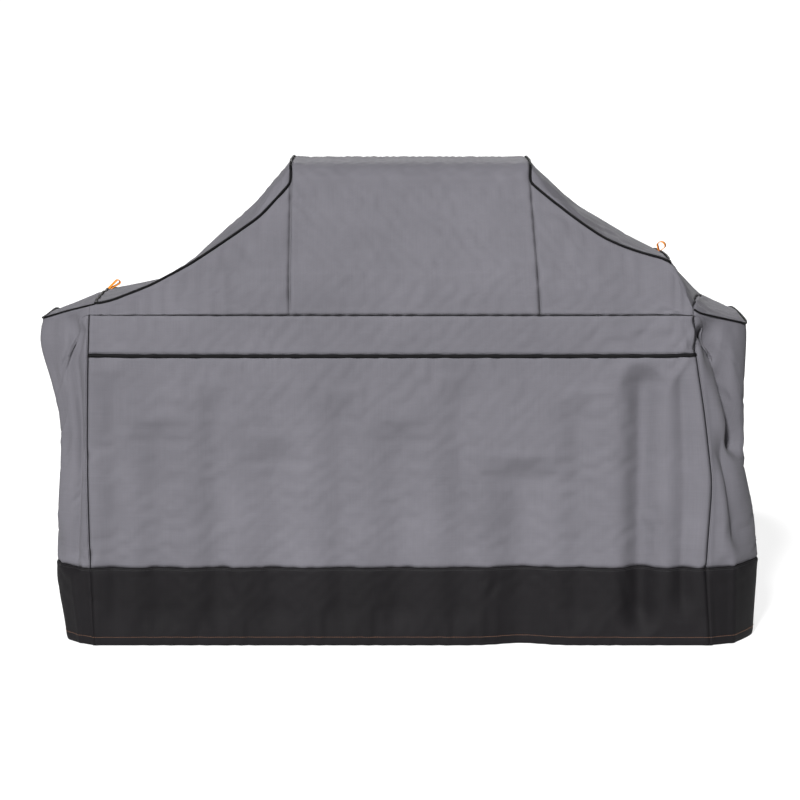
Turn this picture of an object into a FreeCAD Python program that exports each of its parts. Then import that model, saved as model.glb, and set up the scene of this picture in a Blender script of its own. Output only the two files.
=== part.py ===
import FreeCAD, Part
import math
import os

# Full-length grill cover, millimetres. X is the width, -Y the front, Z up from the ground.
# The cover is drawn as it hangs over a grill: one hollow body, cut along its seams into panels.

V = FreeCAD.Vector

# ---- overall sizes --------------------------------------------------------------------------
HALF_WIDTH = 930.0
HALF_DEPTH = 330.0
HOOD_TOP_Z = 1222.0

# ---- cloth ----------------------------------------------------------------------------------
CLOTH_T = 1.2
TAPE_T = 0.8
TAPE_HALF = 11.0
TAPE_OVER_EDGE = 4.0          # the left upright tapes run on under the shelf gusset by this much

# ---- seams on the body ----------------------------------------------------------------------
LOWER_BAND_Z = 204.0
BAND_BOTTOM_Z = 746.0
BAND_TOP_Z = 848.0
SEAM_IN_LEFT = 152.0          # front-left seam, in from the half width
SEAM_IN_RIGHT_LOW = 130.0     # front-right seam at the hem
SEAM_IN_RIGHT_HIGH = 195.0    # front-right seam at the top of the band
CORNER_RUN_Y = 140.0          # how far back the slanted corner runs

# ---- hood -----------------------------------------------------------------------------------
HOOD_LEFT_X = -278.0
HOOD_RIGHT_X = 328.0
HOOD_RIGHT_FLARE = 24.0       # the right hood seam leans out by this much towards the band
HOOD_TOP_HALF_Y = 150.0
HOOD_BROW_HALF_Y = 190.0
HOOD_BROW_DROP = 52.0
CREASE_Z = 956.0              # the hood face is upright below here and leans back above
CREASE_IN = 8.0
LEAN_START_Z = 900.0
PAST_HOOD_Z = 40.0            # the side outline runs on above the hood's top by this much
PAST_HOOD_IN = 30.0

# ---- crown of the top -----------------------------------------------------------------------
CROWN_FLAT_Y = 90.0
CROWN_SLOPE = 0.17

# ---- shoulders: (run, drop) from the hood's corner, then shelves: (in from half width, z) ----
LEFT_SHOULDER = [(101.0, 117.0), (258.0, 260.0), (337.0, 315.0)]
LEFT_SHELF = [(158.0, 876.0), (18.0, 821.0)]
RIGHT_SHOULDER = [(124.0, 117.0), (281.0, 210.0)]
RIGHT_SHELF = [(246.0, 975.0), (216.0, 928.0), (137.0, 857.0), (44.0, 812.0)]
LEFT_SIDE = [(0.0, 745.0), (41.0, 470.0), (30.0, 160.0)]
RIGHT_SIDE = [(27.0, 770.0), (34.0, 445.0), (0.0, 190.0)]
LEFT_HEM_IN = 66.0
RIGHT_HEM_IN = 12.0
HEM_UPRIGHT = 30.0

LEFT_CROSS_IN = 166.0         # cross seam of the left top gusset, in from the half width
RIGHT_CROSS_IN = 252.0        # cross seam of the right top gusset, in from the half width
RIDGE_SEAM_OUT = 62.0         # the right shelf's seam points this far outwards at the ridge

# ---- piping ---------------------------------------------------------------------------------
PIPING_R = 3.0
BAND_PIPING_R = 4.0
STATIONS = 6                  # runs that a piping's edge is divided into
STATION_GAP = 15.0            # a station this near a corner of the ridge is left out

# ---- hem casing and drawcord ----------------------------------------------------------------
CASING_H = 26.0
CHANNEL_D = 6.0
CORD_D = 3.5
CORD_BEND_R = 12.0
EXIT_BEND_R = 4.5
EXIT_HALF_Y = 12.0
EYELET_BORE_R = 3.0
EYELET_TUBE_R = 3.7
EYELET_FLANGE_R = 5.5
EYELET_FLANGE_T = 0.8
EYELET_LIP_T = 0.5
CORD_STUB = 2.0               # cord showing past the eyelet before the free loop begins
CORD_OFF_GROUND = 0.2
CORD_BEND_SHARE = 0.45        # share of the shorter run that a bend may take

# ---- cord lock ------------------------------------------------------------------------------
LOCK_OUT = 16.8               # middle of the lock, out from the hem
LOCK_START_Y = 45.0
LOCK_X = 20.0
LOCK_Y = 15.0
LOCK_BASE_Z = 0.8
LOCK_TOP_Z = 26.0
LOCK_FLOOR_T = 1.4
LOCK_CAVITY_X = 12.0
LOCK_CAVITY_Y = 10.0
LOCK_CORNER_R = 4.5
STRAND_GAP = 0.5              # between the two strands in the lock
STRAND_HALF_GAP = (CORD_D + STRAND_GAP) / 2
CORD_CLEAR = 0.25
PLUNGER_CLEAR = 0.3
PLUNGER_TRAVEL = 4.5
PLUNGER_WEB = 1.4
PLUNGER_PROUD = 5.0
PLUNGER_CORNER_R = 1.5
SPRING_R = 3.2
SPRING_WIRE_R = 0.3
SPRING_TURNS = 3
SPRING_STEPS = 8              # points in each turn of the spring
SPRING_END_GAP = 0.05

# ---- pull loops -----------------------------------------------------------------------------
LOOP_WIDTH = 25.0
LOOP_T = 1.6
LOOP_ROLL_R = 2.4
LOOP_CLEAR = 0.3
SLOPE_SPAN = 4.0              # the top's slope at a loop is measured this far each way
LEFT_LOOP_LEN = 36.0
LEFT_LOOP_RISE = 13.0
LEFT_LOOP_LEAN = 38.0         # degrees above level, pointing to the hood
RIGHT_LOOP_LEN = 25.0
RIGHT_LOOP_RISE = 22.0
RIGHT_LOOP_LEAN = 78.0

# ---- construction helpers -------------------------------------------------------------------
BELOW = 60.0                  # construction solids start this far under the ground
FAR = 1600.0
MITRE_UP = 300.0              # the cut between a shelf and its side wall, above and below the edge
MITRE_DOWN = 700.0
HALVINGS = 40


def face(points):
    return Part.Face(Part.makePolygon(points + [points[0]]))


def prism_y(xz, y0, y1):
    return face([V(x, y0, z) for x, z in xz]).extrude(V(0, y1 - y0, 0))


def prism_x(yz, x0, x1):
    return face([V(x0, y, z) for y, z in yz]).extrude(V(x1 - x0, 0, 0))


def prism_z(xy, z0, z1):
    return face([V(x, y, z0) for x, y in xy]).extrude(V(0, 0, z1 - z0))


def box(x0, x1, y0, y1, z0, z1):
    return Part.makeBox(x1 - x0, y1 - y0, z1 - z0, V(x0, y0, z0))


def signed_area(points):
    pairs = zip(points, points[1:] + points[:1])
    return sum(a[0] * b[1] - b[0] * a[1] for a, b in pairs) / 2.0


def inset(points, distance):
    """The outline moved inwards by distance, corner by corner."""
    if distance == 0:
        return list(points)
    side = 1.0 if signed_area(points) > 0 else -1.0
    count = len(points)
    lines = []
    for i in range(count):
        ax, ay = points[i]
        bx, by = points[(i + 1) % count]
        length = math.hypot(bx - ax, by - ay)
        nx = -side * (by - ay) / length
        ny = side * (bx - ax) / length
        lines.append((nx, ny, nx * ax + ny * ay + distance))
    moved = []
    for i in range(count):
        a1, b1, c1 = lines[i - 1]
        a2, b2, c2 = lines[i]
        det = a1 * b2 - a2 * b1
        moved.append(((c1 * b2 - c2 * b1) / det, (a1 * c2 - a2 * c1) / det))
    return moved


def fuse(shapes):
    whole = shapes[0]
    for other in shapes[1:]:
        whole = whole.fuse(other)
    return whole.removeSplitter()


def tube(points, radius):
    """Round bead along straight runs, with a ball at each corner."""
    pieces = []
    for a, b in zip(points, points[1:]):
        run = b.sub(a)
        pieces.append(Part.makeCylinder(radius, run.Length, a, run))
    for p in points[1:-1]:
        pieces.append(Part.makeSphere(radius, p))
    whole = pieces[0]
    return whole.fuse(pieces[1:])


def bent_path(points, radii):
    """A wire of straight runs joined by tangent arcs, one radius for each inner point."""
    edges = []
    start = points[0]
    for i in range(1, len(points) - 1):
        before, corner, after = points[i - 1], points[i], points[i + 1]
        into = corner.sub(before).normalize()
        out = after.sub(corner).normalize()
        turn = into.getAngle(out)
        back = radii[i - 1] * math.tan(turn / 2)
        p = corner.sub(into * back)
        q = corner.add(out * back)
        middle = out.sub(into).normalize()
        reach = radii[i - 1] / math.cos(turn / 2) - radii[i - 1]
        edges.append(Part.LineSegment(start, p).toShape())
        edges.append(Part.Arc(p, corner.add(middle * reach), q).toShape())
        start = q
    edges.append(Part.LineSegment(start, points[-1]).toShape())
    return Part.Wire(edges)


def cord_along(path, diameter, towards):
    ring = Part.Wire([Part.makeCircle(diameter / 2, path.Vertexes[0].Point, towards)])
    return path.makePipeShell([ring], True, False)


def export(name, shape):
    solids = shape.Solids
    solid = solids[0] if len(solids) == 1 else Part.makeCompound(solids)
    solid.exportStep("parts/%s.step" % name)
    print("%-28s %d solid  %.1f cm3" % (name, len(solids), solid.Volume / 1000))


# ---- outlines -------------------------------------------------------------------------------
SEAM_LEFT_X = -(HALF_WIDTH - SEAM_IN_LEFT)
SEAM_RIGHT_LOW_X = HALF_WIDTH - SEAM_IN_RIGHT_LOW
SEAM_RIGHT_HIGH_X = HALF_WIDTH - SEAM_IN_RIGHT_HIGH
LEFT_HEM_X = -(HALF_WIDTH - LEFT_HEM_IN)
RIGHT_HEM_X = HALF_WIDTH - RIGHT_HEM_IN
LEFT_CROSS_X = -(HALF_WIDTH - LEFT_CROSS_IN)
RIGHT_CROSS_X = HALF_WIDTH - RIGHT_CROSS_IN


def top_outline():
    """Ridge of the cover seen from the front, from the left shelf to the right shelf."""
    left = [(HOOD_LEFT_X - run, HOOD_TOP_Z - drop) for run, drop in LEFT_SHOULDER]
    left += [(-(HALF_WIDTH - back), z) for back, z in LEFT_SHELF]
    right = [(HOOD_RIGHT_X + run, HOOD_TOP_Z - drop) for run, drop in RIGHT_SHOULDER]
    right += [(HALF_WIDTH - back, z) for back, z in RIGHT_SHELF]
    corners = [(HOOD_LEFT_X, HOOD_TOP_Z), (HOOD_RIGHT_X, HOOD_TOP_Z)]
    return left[::-1] + corners + right


def front_outline():
    left = [(-(HALF_WIDTH - back), z) for back, z in LEFT_SIDE]
    right = [(HALF_WIDTH - back, z) for back, z in RIGHT_SIDE]
    left += [(LEFT_HEM_X, HEM_UPRIGHT), (LEFT_HEM_X, -BELOW)]
    right += [(RIGHT_HEM_X, HEM_UPRIGHT), (RIGHT_HEM_X, -BELOW)]
    return left[::-1] + top_outline() + right


def depth_steps():
    """(half depth, height) up the front face."""
    return [
        (HALF_DEPTH, -BELOW),
        (HALF_DEPTH, LEAN_START_Z),
        (HALF_DEPTH - CREASE_IN, CREASE_Z),
        (HOOD_BROW_HALF_Y, HOOD_TOP_Z - HOOD_BROW_DROP),
        (HOOD_TOP_HALF_Y, HOOD_TOP_Z),
        (HOOD_TOP_HALF_Y - PAST_HOOD_IN, HOOD_TOP_Z + PAST_HOOD_Z),
    ]


def side_outline():
    front = [(-y, z) for y, z in depth_steps()]
    back = [(y, z) for y, z in depth_steps()]
    return front + back[::-1]


def plan_outline():
    flat_y = HALF_DEPTH - CORNER_RUN_Y
    return [
        (SEAM_LEFT_X, -HALF_DEPTH),
        (SEAM_RIGHT_LOW_X, -HALF_DEPTH),
        (HALF_WIDTH, -flat_y),
        (HALF_WIDTH, flat_y),
        (SEAM_RIGHT_LOW_X, HALF_DEPTH),
        (SEAM_LEFT_X, HALF_DEPTH),
        (-HALF_WIDTH, flat_y),
        (-HALF_WIDTH, -flat_y),
    ]


def interpolate(steps, value):
    """Straight-line lookup in (value, result) pairs that rise in value."""
    for (a, fa), (b, fb) in zip(steps, steps[1:]):
        if a <= value <= b:
            return fa + (fb - fa) * (value - a) / (b - a)
    return steps[0][1] if value < steps[0][0] else steps[-1][1]


def ridge_z(x):
    return interpolate(top_outline(), x)


def crown_z(x, y):
    return ridge_z(x) - CROWN_SLOPE * max(0.0, abs(y) - CROWN_FLAT_Y)


def plan_half_depth(x):
    flat_y = HALF_DEPTH - CORNER_RUN_Y
    left = [(-HALF_WIDTH, flat_y), (SEAM_LEFT_X, HALF_DEPTH)]
    right = [(SEAM_RIGHT_LOW_X, HALF_DEPTH), (HALF_WIDTH, flat_y)]
    return interpolate(left + right, x)


def edge_half_depth(x):
    """Half depth at which the top surface meets the front face, found by halving."""
    heights = [(z, y) for y, z in depth_steps()]
    low, high = 0.0, 2 * HALF_DEPTH
    for _ in range(HALVINGS):
        middle = (low + high) / 2
        if middle < interpolate(heights, crown_z(x, middle)):
            low = middle
        else:
            high = middle
    return min(low, plan_half_depth(x))


# ---- the hollow body ------------------------------------------------------------------------
def crown_body(d):
    """The front outline run through the depth, under a top that falls away to front and back."""
    ridge = top_outline()
    left = [(-FAR, -FAR), (-FAR, ridge[0][1])]
    right = [(FAR, ridge[-1][1]), (FAR, -FAR)]
    outline = inset(left + ridge + right, d)
    reach = HALF_DEPTH + BELOW - CROWN_FLAT_Y
    slabs = [prism_y(outline, -CROWN_FLAT_Y, CROWN_FLAT_Y)]
    for side in (-1.0, 1.0):
        start = face([V(x, side * CROWN_FLAT_Y, z) for x, z in outline])
        slabs.append(start.extrude(V(0, side * reach, -CROWN_SLOPE * reach)))
    roof = slabs[0].fuse(slabs[1:])
    return roof.common(prism_y(inset(front_outline(), d), -FAR, FAR))


def side_prism(d):
    return prism_x(inset(side_outline(), d), -FAR, FAR)


def plan_prism(d):
    return prism_z(inset(plan_outline(), d), -BELOW, FAR)


def body(d):
    """Everything inside the cover's surface moved inwards by d."""
    return crown_body(d).common(side_prism(d)).common(plan_prism(d))


def front_half(shape):
    return shape.common(box(-FAR, FAR, -FAR, 0, -BELOW, FAR))


def back_half(shape):
    return shape.common(box(-FAR, FAR, 0, FAR, -BELOW, FAR))


def between(shape, z0, z1):
    return shape.common(box(-FAR, FAR, -FAR, FAR, z0, z1))


def seam_right_x(z):
    lean = (SEAM_RIGHT_HIGH_X - SEAM_RIGHT_LOW_X) / BAND_TOP_Z
    return SEAM_RIGHT_LOW_X + lean * z


ABOVE_GROUND = box(-FAR, FAR, -FAR, FAR, 0, FAR)
OUTER = body(0)
INNER = body(CLOTH_T)
SHELL = OUTER.cut(INNER).common(ABOVE_GROUND)

SEAM_SLAB = prism_y(
    [
        (SEAM_LEFT_X, -BELOW),
        (seam_right_x(-BELOW), -BELOW),
        (SEAM_RIGHT_HIGH_X, BAND_TOP_Z),
        (SEAM_LEFT_X, BAND_TOP_Z),
    ],
    -FAR,
    FAR,
)
HOOD_SLAB = prism_y(
    [
        (HOOD_LEFT_X, BAND_TOP_Z),
        (HOOD_RIGHT_X + HOOD_RIGHT_FLARE, BAND_TOP_Z),
        (HOOD_RIGHT_X, HOOD_TOP_Z),
        (HOOD_RIGHT_X, FAR),
        (HOOD_LEFT_X, FAR),
    ],
    -FAR,
    FAR,
)


# ---- panels ---------------------------------------------------------------------------------
def hem_casing():
    """The turned-up hem: an inner layer, a fold at the bottom and a stitched top edge."""
    inner_face = body(CLOTH_T + CHANNEL_D)
    block = between(INNER.cut(body(2 * CLOTH_T + CHANNEL_D)), 0, CASING_H)
    channel = between(INNER.cut(inner_face), CLOTH_T, CASING_H - CLOTH_T)
    return block.cut(channel)


def eyelet_points():
    middle_z = CASING_H / 2
    return [V(RIGHT_HEM_X, side * EXIT_HALF_Y, middle_z) for side in (-1, 1)]


def lower_bands():
    skin = between(SHELL, 0, LOWER_BAND_Z)
    whole = skin.fuse(hem_casing()).removeSplitter()
    for p in eyelet_points():
        drill = Part.makeCylinder(EYELET_TUBE_R, 3 * CLOTH_T, p.sub(V(2 * CLOTH_T, 0, 0)), V(1, 0, 0))
        whole = whole.cut(drill)
    middle = whole.common(SEAM_SLAB)
    ends = whole.cut(SEAM_SLAB)
    left = ends.common(box(-FAR, 0, -FAR, FAR, -BELOW, FAR))
    right = ends.common(box(0, FAR, -FAR, FAR, -BELOW, FAR))
    return {
        "front_lower_band": front_half(middle),
        "back_lower_band": back_half(middle),
        "left_lower_band": left,
        "right_lower_band": right,
    }


def past_shelf(edge, side):
    """Everything outside a 45 degree cut through a shelf's outer edge."""
    x, z = edge
    corners = [
        (x + side * MITRE_UP, z + MITRE_UP),
        (x + side * MITRE_UP, z - MITRE_DOWN),
        (x - side * MITRE_DOWN, z - MITRE_DOWN),
    ]
    return prism_y(corners, -FAR, FAR)


def upper_panels():
    upper = between(SHELL, LOWER_BAND_Z, FAR)
    hood = upper.common(HOOD_SLAB)
    rest = upper.cut(HOOD_SLAB)
    faces = rest.cut(side_prism(CLOTH_T))
    skins = rest.common(side_prism(CLOTH_T))
    corners = skins.cut(plan_prism(CLOTH_T))
    skins = skins.common(plan_prism(CLOTH_T))

    past_left = past_shelf(top_outline()[0], -1)
    past_right = past_shelf(top_outline()[-1], 1)
    side_walls = skins.common(past_left.fuse(past_right))
    tops = skins.cut(past_left).cut(past_right)

    left_of = box(-FAR, 0, -FAR, FAR, -BELOW, FAR)
    right_of = box(0, FAR, -FAR, FAR, -BELOW, FAR)
    ends = between(faces, 0, BAND_TOP_Z).cut(SEAM_SLAB)

    panels = {"hood_centre_panel": hood}
    for name, half in (("left", left_of), ("right", right_of)):
        parts = [piece.common(half) for piece in (side_walls, corners, ends)]
        parts = [piece for piece in parts if piece.Solids]
        panels[name + "_side_panel"] = fuse(parts)

    middle = faces.common(SEAM_SLAB)
    shoulders = between(faces, BAND_TOP_Z, FAR)
    ridge_cut = prism_z(
        [
            (0, -FAR),
            (SEAM_RIGHT_HIGH_X, -FAR),
            (SEAM_RIGHT_HIGH_X, -HALF_DEPTH),
            (SEAM_RIGHT_HIGH_X + RIDGE_SEAM_OUT, 0),
            (SEAM_RIGHT_HIGH_X, HALF_DEPTH),
            (SEAM_RIGHT_HIGH_X, FAR),
            (0, FAR),
        ],
        -BELOW,
        FAR,
    )
    past_cross = box(RIGHT_CROSS_X, FAR, -FAR, FAR, -BELOW, FAR)
    drop = tops.common(past_cross).common(ridge_cut)
    for name, half in (("front", front_half), ("back", back_half)):
        part = half(middle)
        panels[name + "_skirt_panel"] = between(part, 0, BAND_BOTTOM_Z)
        panels[name + "_band_panel"] = between(part, BAND_BOTTOM_Z, BAND_TOP_Z)
        panels["left_%s_shoulder_panel" % name] = half(shoulders).common(left_of)
        right = [half(shoulders).common(right_of), half(drop)]
        panels["right_%s_shoulder_panel" % name] = fuse(right)

    panels["left_top_gusset"] = tops.common(box(LEFT_CROSS_X, 0, -FAR, FAR, 0, FAR))
    panels["left_shelf_gusset"] = tops.common(box(-FAR, LEFT_CROSS_X, -FAR, FAR, 0, FAR))
    panels["right_top_gusset"] = tops.common(box(0, RIGHT_CROSS_X, -FAR, FAR, 0, FAR))
    panels["right_shelf_gusset"] = tops.common(past_cross).cut(ridge_cut)
    return panels


# ---- piping ---------------------------------------------------------------------------------
def stations(x0, x1):
    """Places along the top edge: both ends and every corner of the ridge between them."""
    low, high = min(x0, x1), max(x0, x1)
    inner = [x for x, _ in top_outline() if low + 1 < x < high - 1]
    steps = [low + (high - low) * i / STATIONS for i in range(1, STATIONS)]
    xs = sorted(inner + [s for s in steps if all(abs(s - x) > STATION_GAP for x in inner)])
    xs = [low] + xs + [high]
    return xs if x0 < x1 else xs[::-1]


def edge_line(x0, x1, side):
    line = []
    for x in stations(x0, x1):
        y = edge_half_depth(x)
        line.append(V(x, side * y, crown_z(x, y)))
    return line


def across(x):
    """Across the top at x, from the front edge to the back edge."""
    y = edge_half_depth(x)
    steps = [-y, -CROWN_FLAT_Y, CROWN_FLAT_Y, y]
    return [V(x, step, crown_z(x, step)) for step in steps]


def gusset_piping(hood_x, cross_x, loop_gap):
    front = edge_line(hood_x, cross_x, -1)
    back = edge_line(cross_x, hood_x, 1)
    ring = front + across(cross_x)[1:-1] + back + across(hood_x)[1:-1][::-1]
    bead = tube(ring + [ring[0]], PIPING_R)
    bead = bead.fuse(Part.makeSphere(PIPING_R, ring[0])).cut(OUTER)
    return bead.cut(loop_gap)


def shelf_piping(start_x, end_x):
    front = edge_line(start_x, end_x, -1)
    back = edge_line(end_x, start_x, 1)
    line = front + across(end_x)[1:-1] + back
    past_end = math.copysign(3 * PIPING_R, end_x - start_x)
    reach = sorted([start_x, end_x + past_end])
    return tube(line, PIPING_R).cut(OUTER).common(box(reach[0], reach[1], -FAR, FAR, 0, FAR))


def band_piping(side):
    right_x = seam_right_x(BAND_BOTTOM_Z)
    ends = [V(SEAM_LEFT_X, side * HALF_DEPTH, BAND_BOTTOM_Z), V(right_x, side * HALF_DEPTH, BAND_BOTTOM_Z)]
    return tube(ends, BAND_PIPING_R).cut(OUTER)


# ---- tapes that cover the seams inside ------------------------------------------------------
def seam_tapes():
    layer = INNER.cut(body(CLOTH_T + TAPE_T)).common(ABOVE_GROUND)
    low = LOWER_BAND_Z + TAPE_HALF
    high = BAND_TOP_Z - TAPE_HALF
    left_high = crown_z(SEAM_LEFT_X, HALF_DEPTH) + TAPE_OVER_EDGE
    tapes = {"lower_band_seam_tape": between(layer, LOWER_BAND_Z - TAPE_HALF, low)}
    upright = {
        "left": [(SEAM_LEFT_X, low), (SEAM_LEFT_X, left_high)],
        "right": [(seam_right_x(low), low), (seam_right_x(high), high)],
    }
    for name, (foot, head) in upright.items():
        strip = prism_y(
            [
                (foot[0] - TAPE_HALF, foot[1]),
                (foot[0] + TAPE_HALF, foot[1]),
                (head[0] + TAPE_HALF, head[1]),
                (head[0] - TAPE_HALF, head[1]),
            ],
            -FAR,
            FAR,
        )
        tapes["front_%s_seam_tape" % name] = front_half(layer.common(strip))
        tapes["back_%s_seam_tape" % name] = back_half(layer.common(strip))
    left_x = SEAM_LEFT_X + TAPE_HALF
    right_x = seam_right_x(BAND_BOTTOM_Z) - 2 * TAPE_HALF
    strip = box(left_x, right_x, -FAR, FAR, BAND_BOTTOM_Z - TAPE_HALF, BAND_BOTTOM_Z + TAPE_HALF)
    tapes["front_band_seam_tape"] = front_half(layer.common(strip))
    tapes["back_band_seam_tape"] = back_half(layer.common(strip))
    foot = BAND_TOP_Z + TAPE_HALF
    hood = {
        "left": (HOOD_LEFT_X, HOOD_LEFT_X),
        "right": (HOOD_RIGHT_X + HOOD_RIGHT_FLARE, HOOD_RIGHT_X),
    }
    for name, (foot_x, head_x) in hood.items():
        strip = prism_y(
            [
                (foot_x - TAPE_HALF, foot),
                (foot_x + TAPE_HALF, foot),
                (head_x + TAPE_HALF, HOOD_TOP_Z),
                (head_x + TAPE_HALF, FAR),
                (head_x - TAPE_HALF, FAR),
                (head_x - TAPE_HALF, HOOD_TOP_Z),
            ],
            -FAR,
            FAR,
        )
        tapes["%s_hood_seam_tape" % name] = layer.common(strip)
    return tapes


# ---- drawcord -------------------------------------------------------------------------------
EXIT_X = RIGHT_HEM_X + EYELET_FLANGE_T + CORD_STUB
CORD_Z = CASING_H / 2


def hem_line(d):
    """Plan of the upright hem, moved inwards by d."""
    flat_y = HALF_DEPTH - CORNER_RUN_Y
    left_lean = CORNER_RUN_Y / SEAM_IN_LEFT
    right_lean = CORNER_RUN_Y / SEAM_IN_RIGHT_LOW
    left_y = flat_y + LEFT_HEM_IN * left_lean
    right_y = flat_y + RIGHT_HEM_IN * right_lean
    return inset(
        [
            (SEAM_LEFT_X, -HALF_DEPTH),
            (SEAM_RIGHT_LOW_X, -HALF_DEPTH),
            (RIGHT_HEM_X, -right_y),
            (RIGHT_HEM_X, right_y),
            (SEAM_RIGHT_LOW_X, HALF_DEPTH),
            (SEAM_LEFT_X, HALF_DEPTH),
            (LEFT_HEM_X, left_y),
            (LEFT_HEM_X, -left_y),
        ],
        d,
    )


def hem_drawcord():
    """The cord held in the casing, from one eyelet round the whole hem to the other."""
    ring = hem_line(CLOTH_T + CHANNEL_D / 2)
    centre_x = ring[2][0]
    corners = ring[3:] + ring[:3]
    points = [(EXIT_X, EXIT_HALF_Y), (centre_x, EXIT_HALF_Y)]
    points += corners
    points += [(centre_x, -EXIT_HALF_Y), (EXIT_X, -EXIT_HALF_Y)]
    radii = [EXIT_BEND_R] + [CORD_BEND_R] * len(corners) + [EXIT_BEND_R]
    path = bent_path([V(x, y, CORD_Z) for x, y in points], radii)
    return cord_along(path, CORD_D, V(-1, 0, 0))


def eyelets():
    rings = []
    for p in eyelet_points():
        inside = p.sub(V(CLOTH_T + EYELET_LIP_T, 0, 0))
        length = CLOTH_T + EYELET_LIP_T + EYELET_FLANGE_T
        tube_part = Part.makeCylinder(EYELET_TUBE_R, length, inside, V(1, 0, 0))
        flange = Part.makeCylinder(EYELET_FLANGE_R, EYELET_FLANGE_T, p, V(1, 0, 0))
        lip_r = (EYELET_TUBE_R + EYELET_FLANGE_R) / 2
        lip = Part.makeCylinder(lip_r, EYELET_LIP_T, inside, V(1, 0, 0))
        bore = Part.makeCylinder(EYELET_BORE_R, length, inside, V(1, 0, 0))
        rings.append(fuse([tube_part, flange, lip]).cut(bore))
    return Part.makeCompound(rings)


LOCK_MID_X = RIGHT_HEM_X + LOCK_OUT


def loop_route():
    """The free loop, from the back eyelet through the lock, round its end and back again.

    Points are (out from the middle of the lock, y, z); the loop's far end lies on the ground.
    """
    near = EXIT_X - LOCK_MID_X
    gap = STRAND_HALF_GAP
    ground = CORD_D / 2 + CORD_OFF_GROUND
    route = [
        (near, EXIT_HALF_Y, CORD_Z),
        (-7.3, 12.7, CORD_Z),
        (-3.0, 17.6, CORD_Z),
        (-1.7, 27.0, CORD_Z),
        (-gap, 43.0, CORD_Z),
        (-gap, 73.0, CORD_Z),
        (-4.0, 88.0, 9.6),
        (-8.3, 101.0, 5.2),
        (-11.6, 115.0, ground + 0.6),
        (-12.3, 128.0, ground),
        (-7.6, 134.5, ground),
        (0.0, 136.9, ground),
        (7.6, 134.5, ground),
        (12.3, 128.0, ground),
        (11.6, 115.0, ground + 0.6),
        (8.3, 101.0, 5.2),
        (4.1, 88.0, 9.6),
        (gap, 73.0, CORD_Z),
        (gap, 43.0, CORD_Z),
        (2.6, 24.0, CORD_Z),
        (2.9, 5.5, CORD_Z),
        (0.7, -4.5, CORD_Z),
        (-5.4, -10.6, CORD_Z),
        (near, -EXIT_HALF_Y, CORD_Z),
    ]
    return [V(LOCK_MID_X + out, y, z) for out, y, z in route]


def bend_radii(points):
    radii = []
    for before, corner, after in zip(points, points[1:], points[2:]):
        into = corner.sub(before)
        out = after.sub(corner)
        shorter = min(into.Length, out.Length)
        radii.append(CORD_BEND_SHARE * shorter / math.tan(into.getAngle(out) / 2))
    return radii


def drawcord_loop():
    points = loop_route()
    radii = bend_radii(points)
    path = bent_path(points, radii)
    cord = cord_along(path, CORD_D, V(1, 0, 0))
    swept = path.Length * math.pi * CORD_D ** 2 / 4
    print("loop radii:", ", ".join("%.1f" % r for r in radii))
    print("loop length %.1f mm, volume %.4f of section times length" % (path.Length, cord.Volume / swept))
    return cord


# ---- cord lock ------------------------------------------------------------------------------
CAVITY_FLOOR_Z = LOCK_BASE_Z + LOCK_FLOOR_T
SLOT_BOTTOM_Z = CORD_Z - CORD_D / 2 - CORD_CLEAR
SLOT_TOP_Z = CORD_Z + CORD_D / 2 + CORD_CLEAR + PLUNGER_TRAVEL
PLUNGER_BOTTOM_Z = SLOT_BOTTOM_Z - PLUNGER_WEB
CORD_SLOT_HALF_X = STRAND_HALF_GAP + CORD_D / 2 + CORD_CLEAR
LOCK_MID_Y = LOCK_START_Y + LOCK_Y / 2


def lock_block(x, y, z0, z1):
    return box(LOCK_MID_X - x / 2, LOCK_MID_X + x / 2, LOCK_MID_Y - y / 2, LOCK_MID_Y + y / 2, z0, z1)


def upright_edges(shape):
    return [e for e in shape.Edges if abs(e.tangentAt(e.FirstParameter).z) > 0.99]


def cord_lock_barrel():
    block = lock_block(LOCK_X, LOCK_Y, LOCK_BASE_Z, LOCK_TOP_Z)
    block = block.makeFillet(LOCK_CORNER_R, upright_edges(block))
    cavity = lock_block(LOCK_CAVITY_X, LOCK_CAVITY_Y, CAVITY_FLOOR_Z, LOCK_TOP_Z)
    hole = box(
        LOCK_MID_X - CORD_SLOT_HALF_X,
        LOCK_MID_X + CORD_SLOT_HALF_X,
        LOCK_MID_Y - LOCK_Y,
        LOCK_MID_Y + LOCK_Y,
        SLOT_BOTTOM_Z,
        SLOT_TOP_Z - PLUNGER_TRAVEL,
    )
    return block.cut(cavity).cut(hole)


def cord_lock_plunger():
    width_x = LOCK_CAVITY_X - 2 * PLUNGER_CLEAR
    width_y = LOCK_CAVITY_Y - 2 * PLUNGER_CLEAR
    block = lock_block(width_x, width_y, PLUNGER_BOTTOM_Z, LOCK_TOP_Z + PLUNGER_PROUD)
    block = block.makeFillet(PLUNGER_CORNER_R, upright_edges(block))
    slot = box(
        LOCK_MID_X - CORD_SLOT_HALF_X,
        LOCK_MID_X + CORD_SLOT_HALF_X,
        LOCK_MID_Y - LOCK_Y,
        LOCK_MID_Y + LOCK_Y,
        SLOT_BOTTOM_Z,
        SLOT_TOP_Z,
    )
    return block.cut(slot)


def cord_lock_spring():
    """A round wire wound up in even turns, its bends as large as its steps allow."""
    low = CAVITY_FLOOR_Z + SPRING_WIRE_R + SPRING_END_GAP
    rise = PLUNGER_BOTTOM_Z - SPRING_WIRE_R - SPRING_END_GAP - low
    count = SPRING_TURNS * SPRING_STEPS
    points = []
    for i in range(count + 1):
        angle = 2 * math.pi * i / SPRING_STEPS
        x = LOCK_MID_X + SPRING_R * math.cos(angle)
        y = LOCK_MID_Y + SPRING_R * math.sin(angle)
        points.append(V(x, y, low + rise * i / count))
    path = bent_path(points, bend_radii(points))
    return cord_along(path, 2 * SPRING_WIRE_R, points[1].sub(points[0]))


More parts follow.
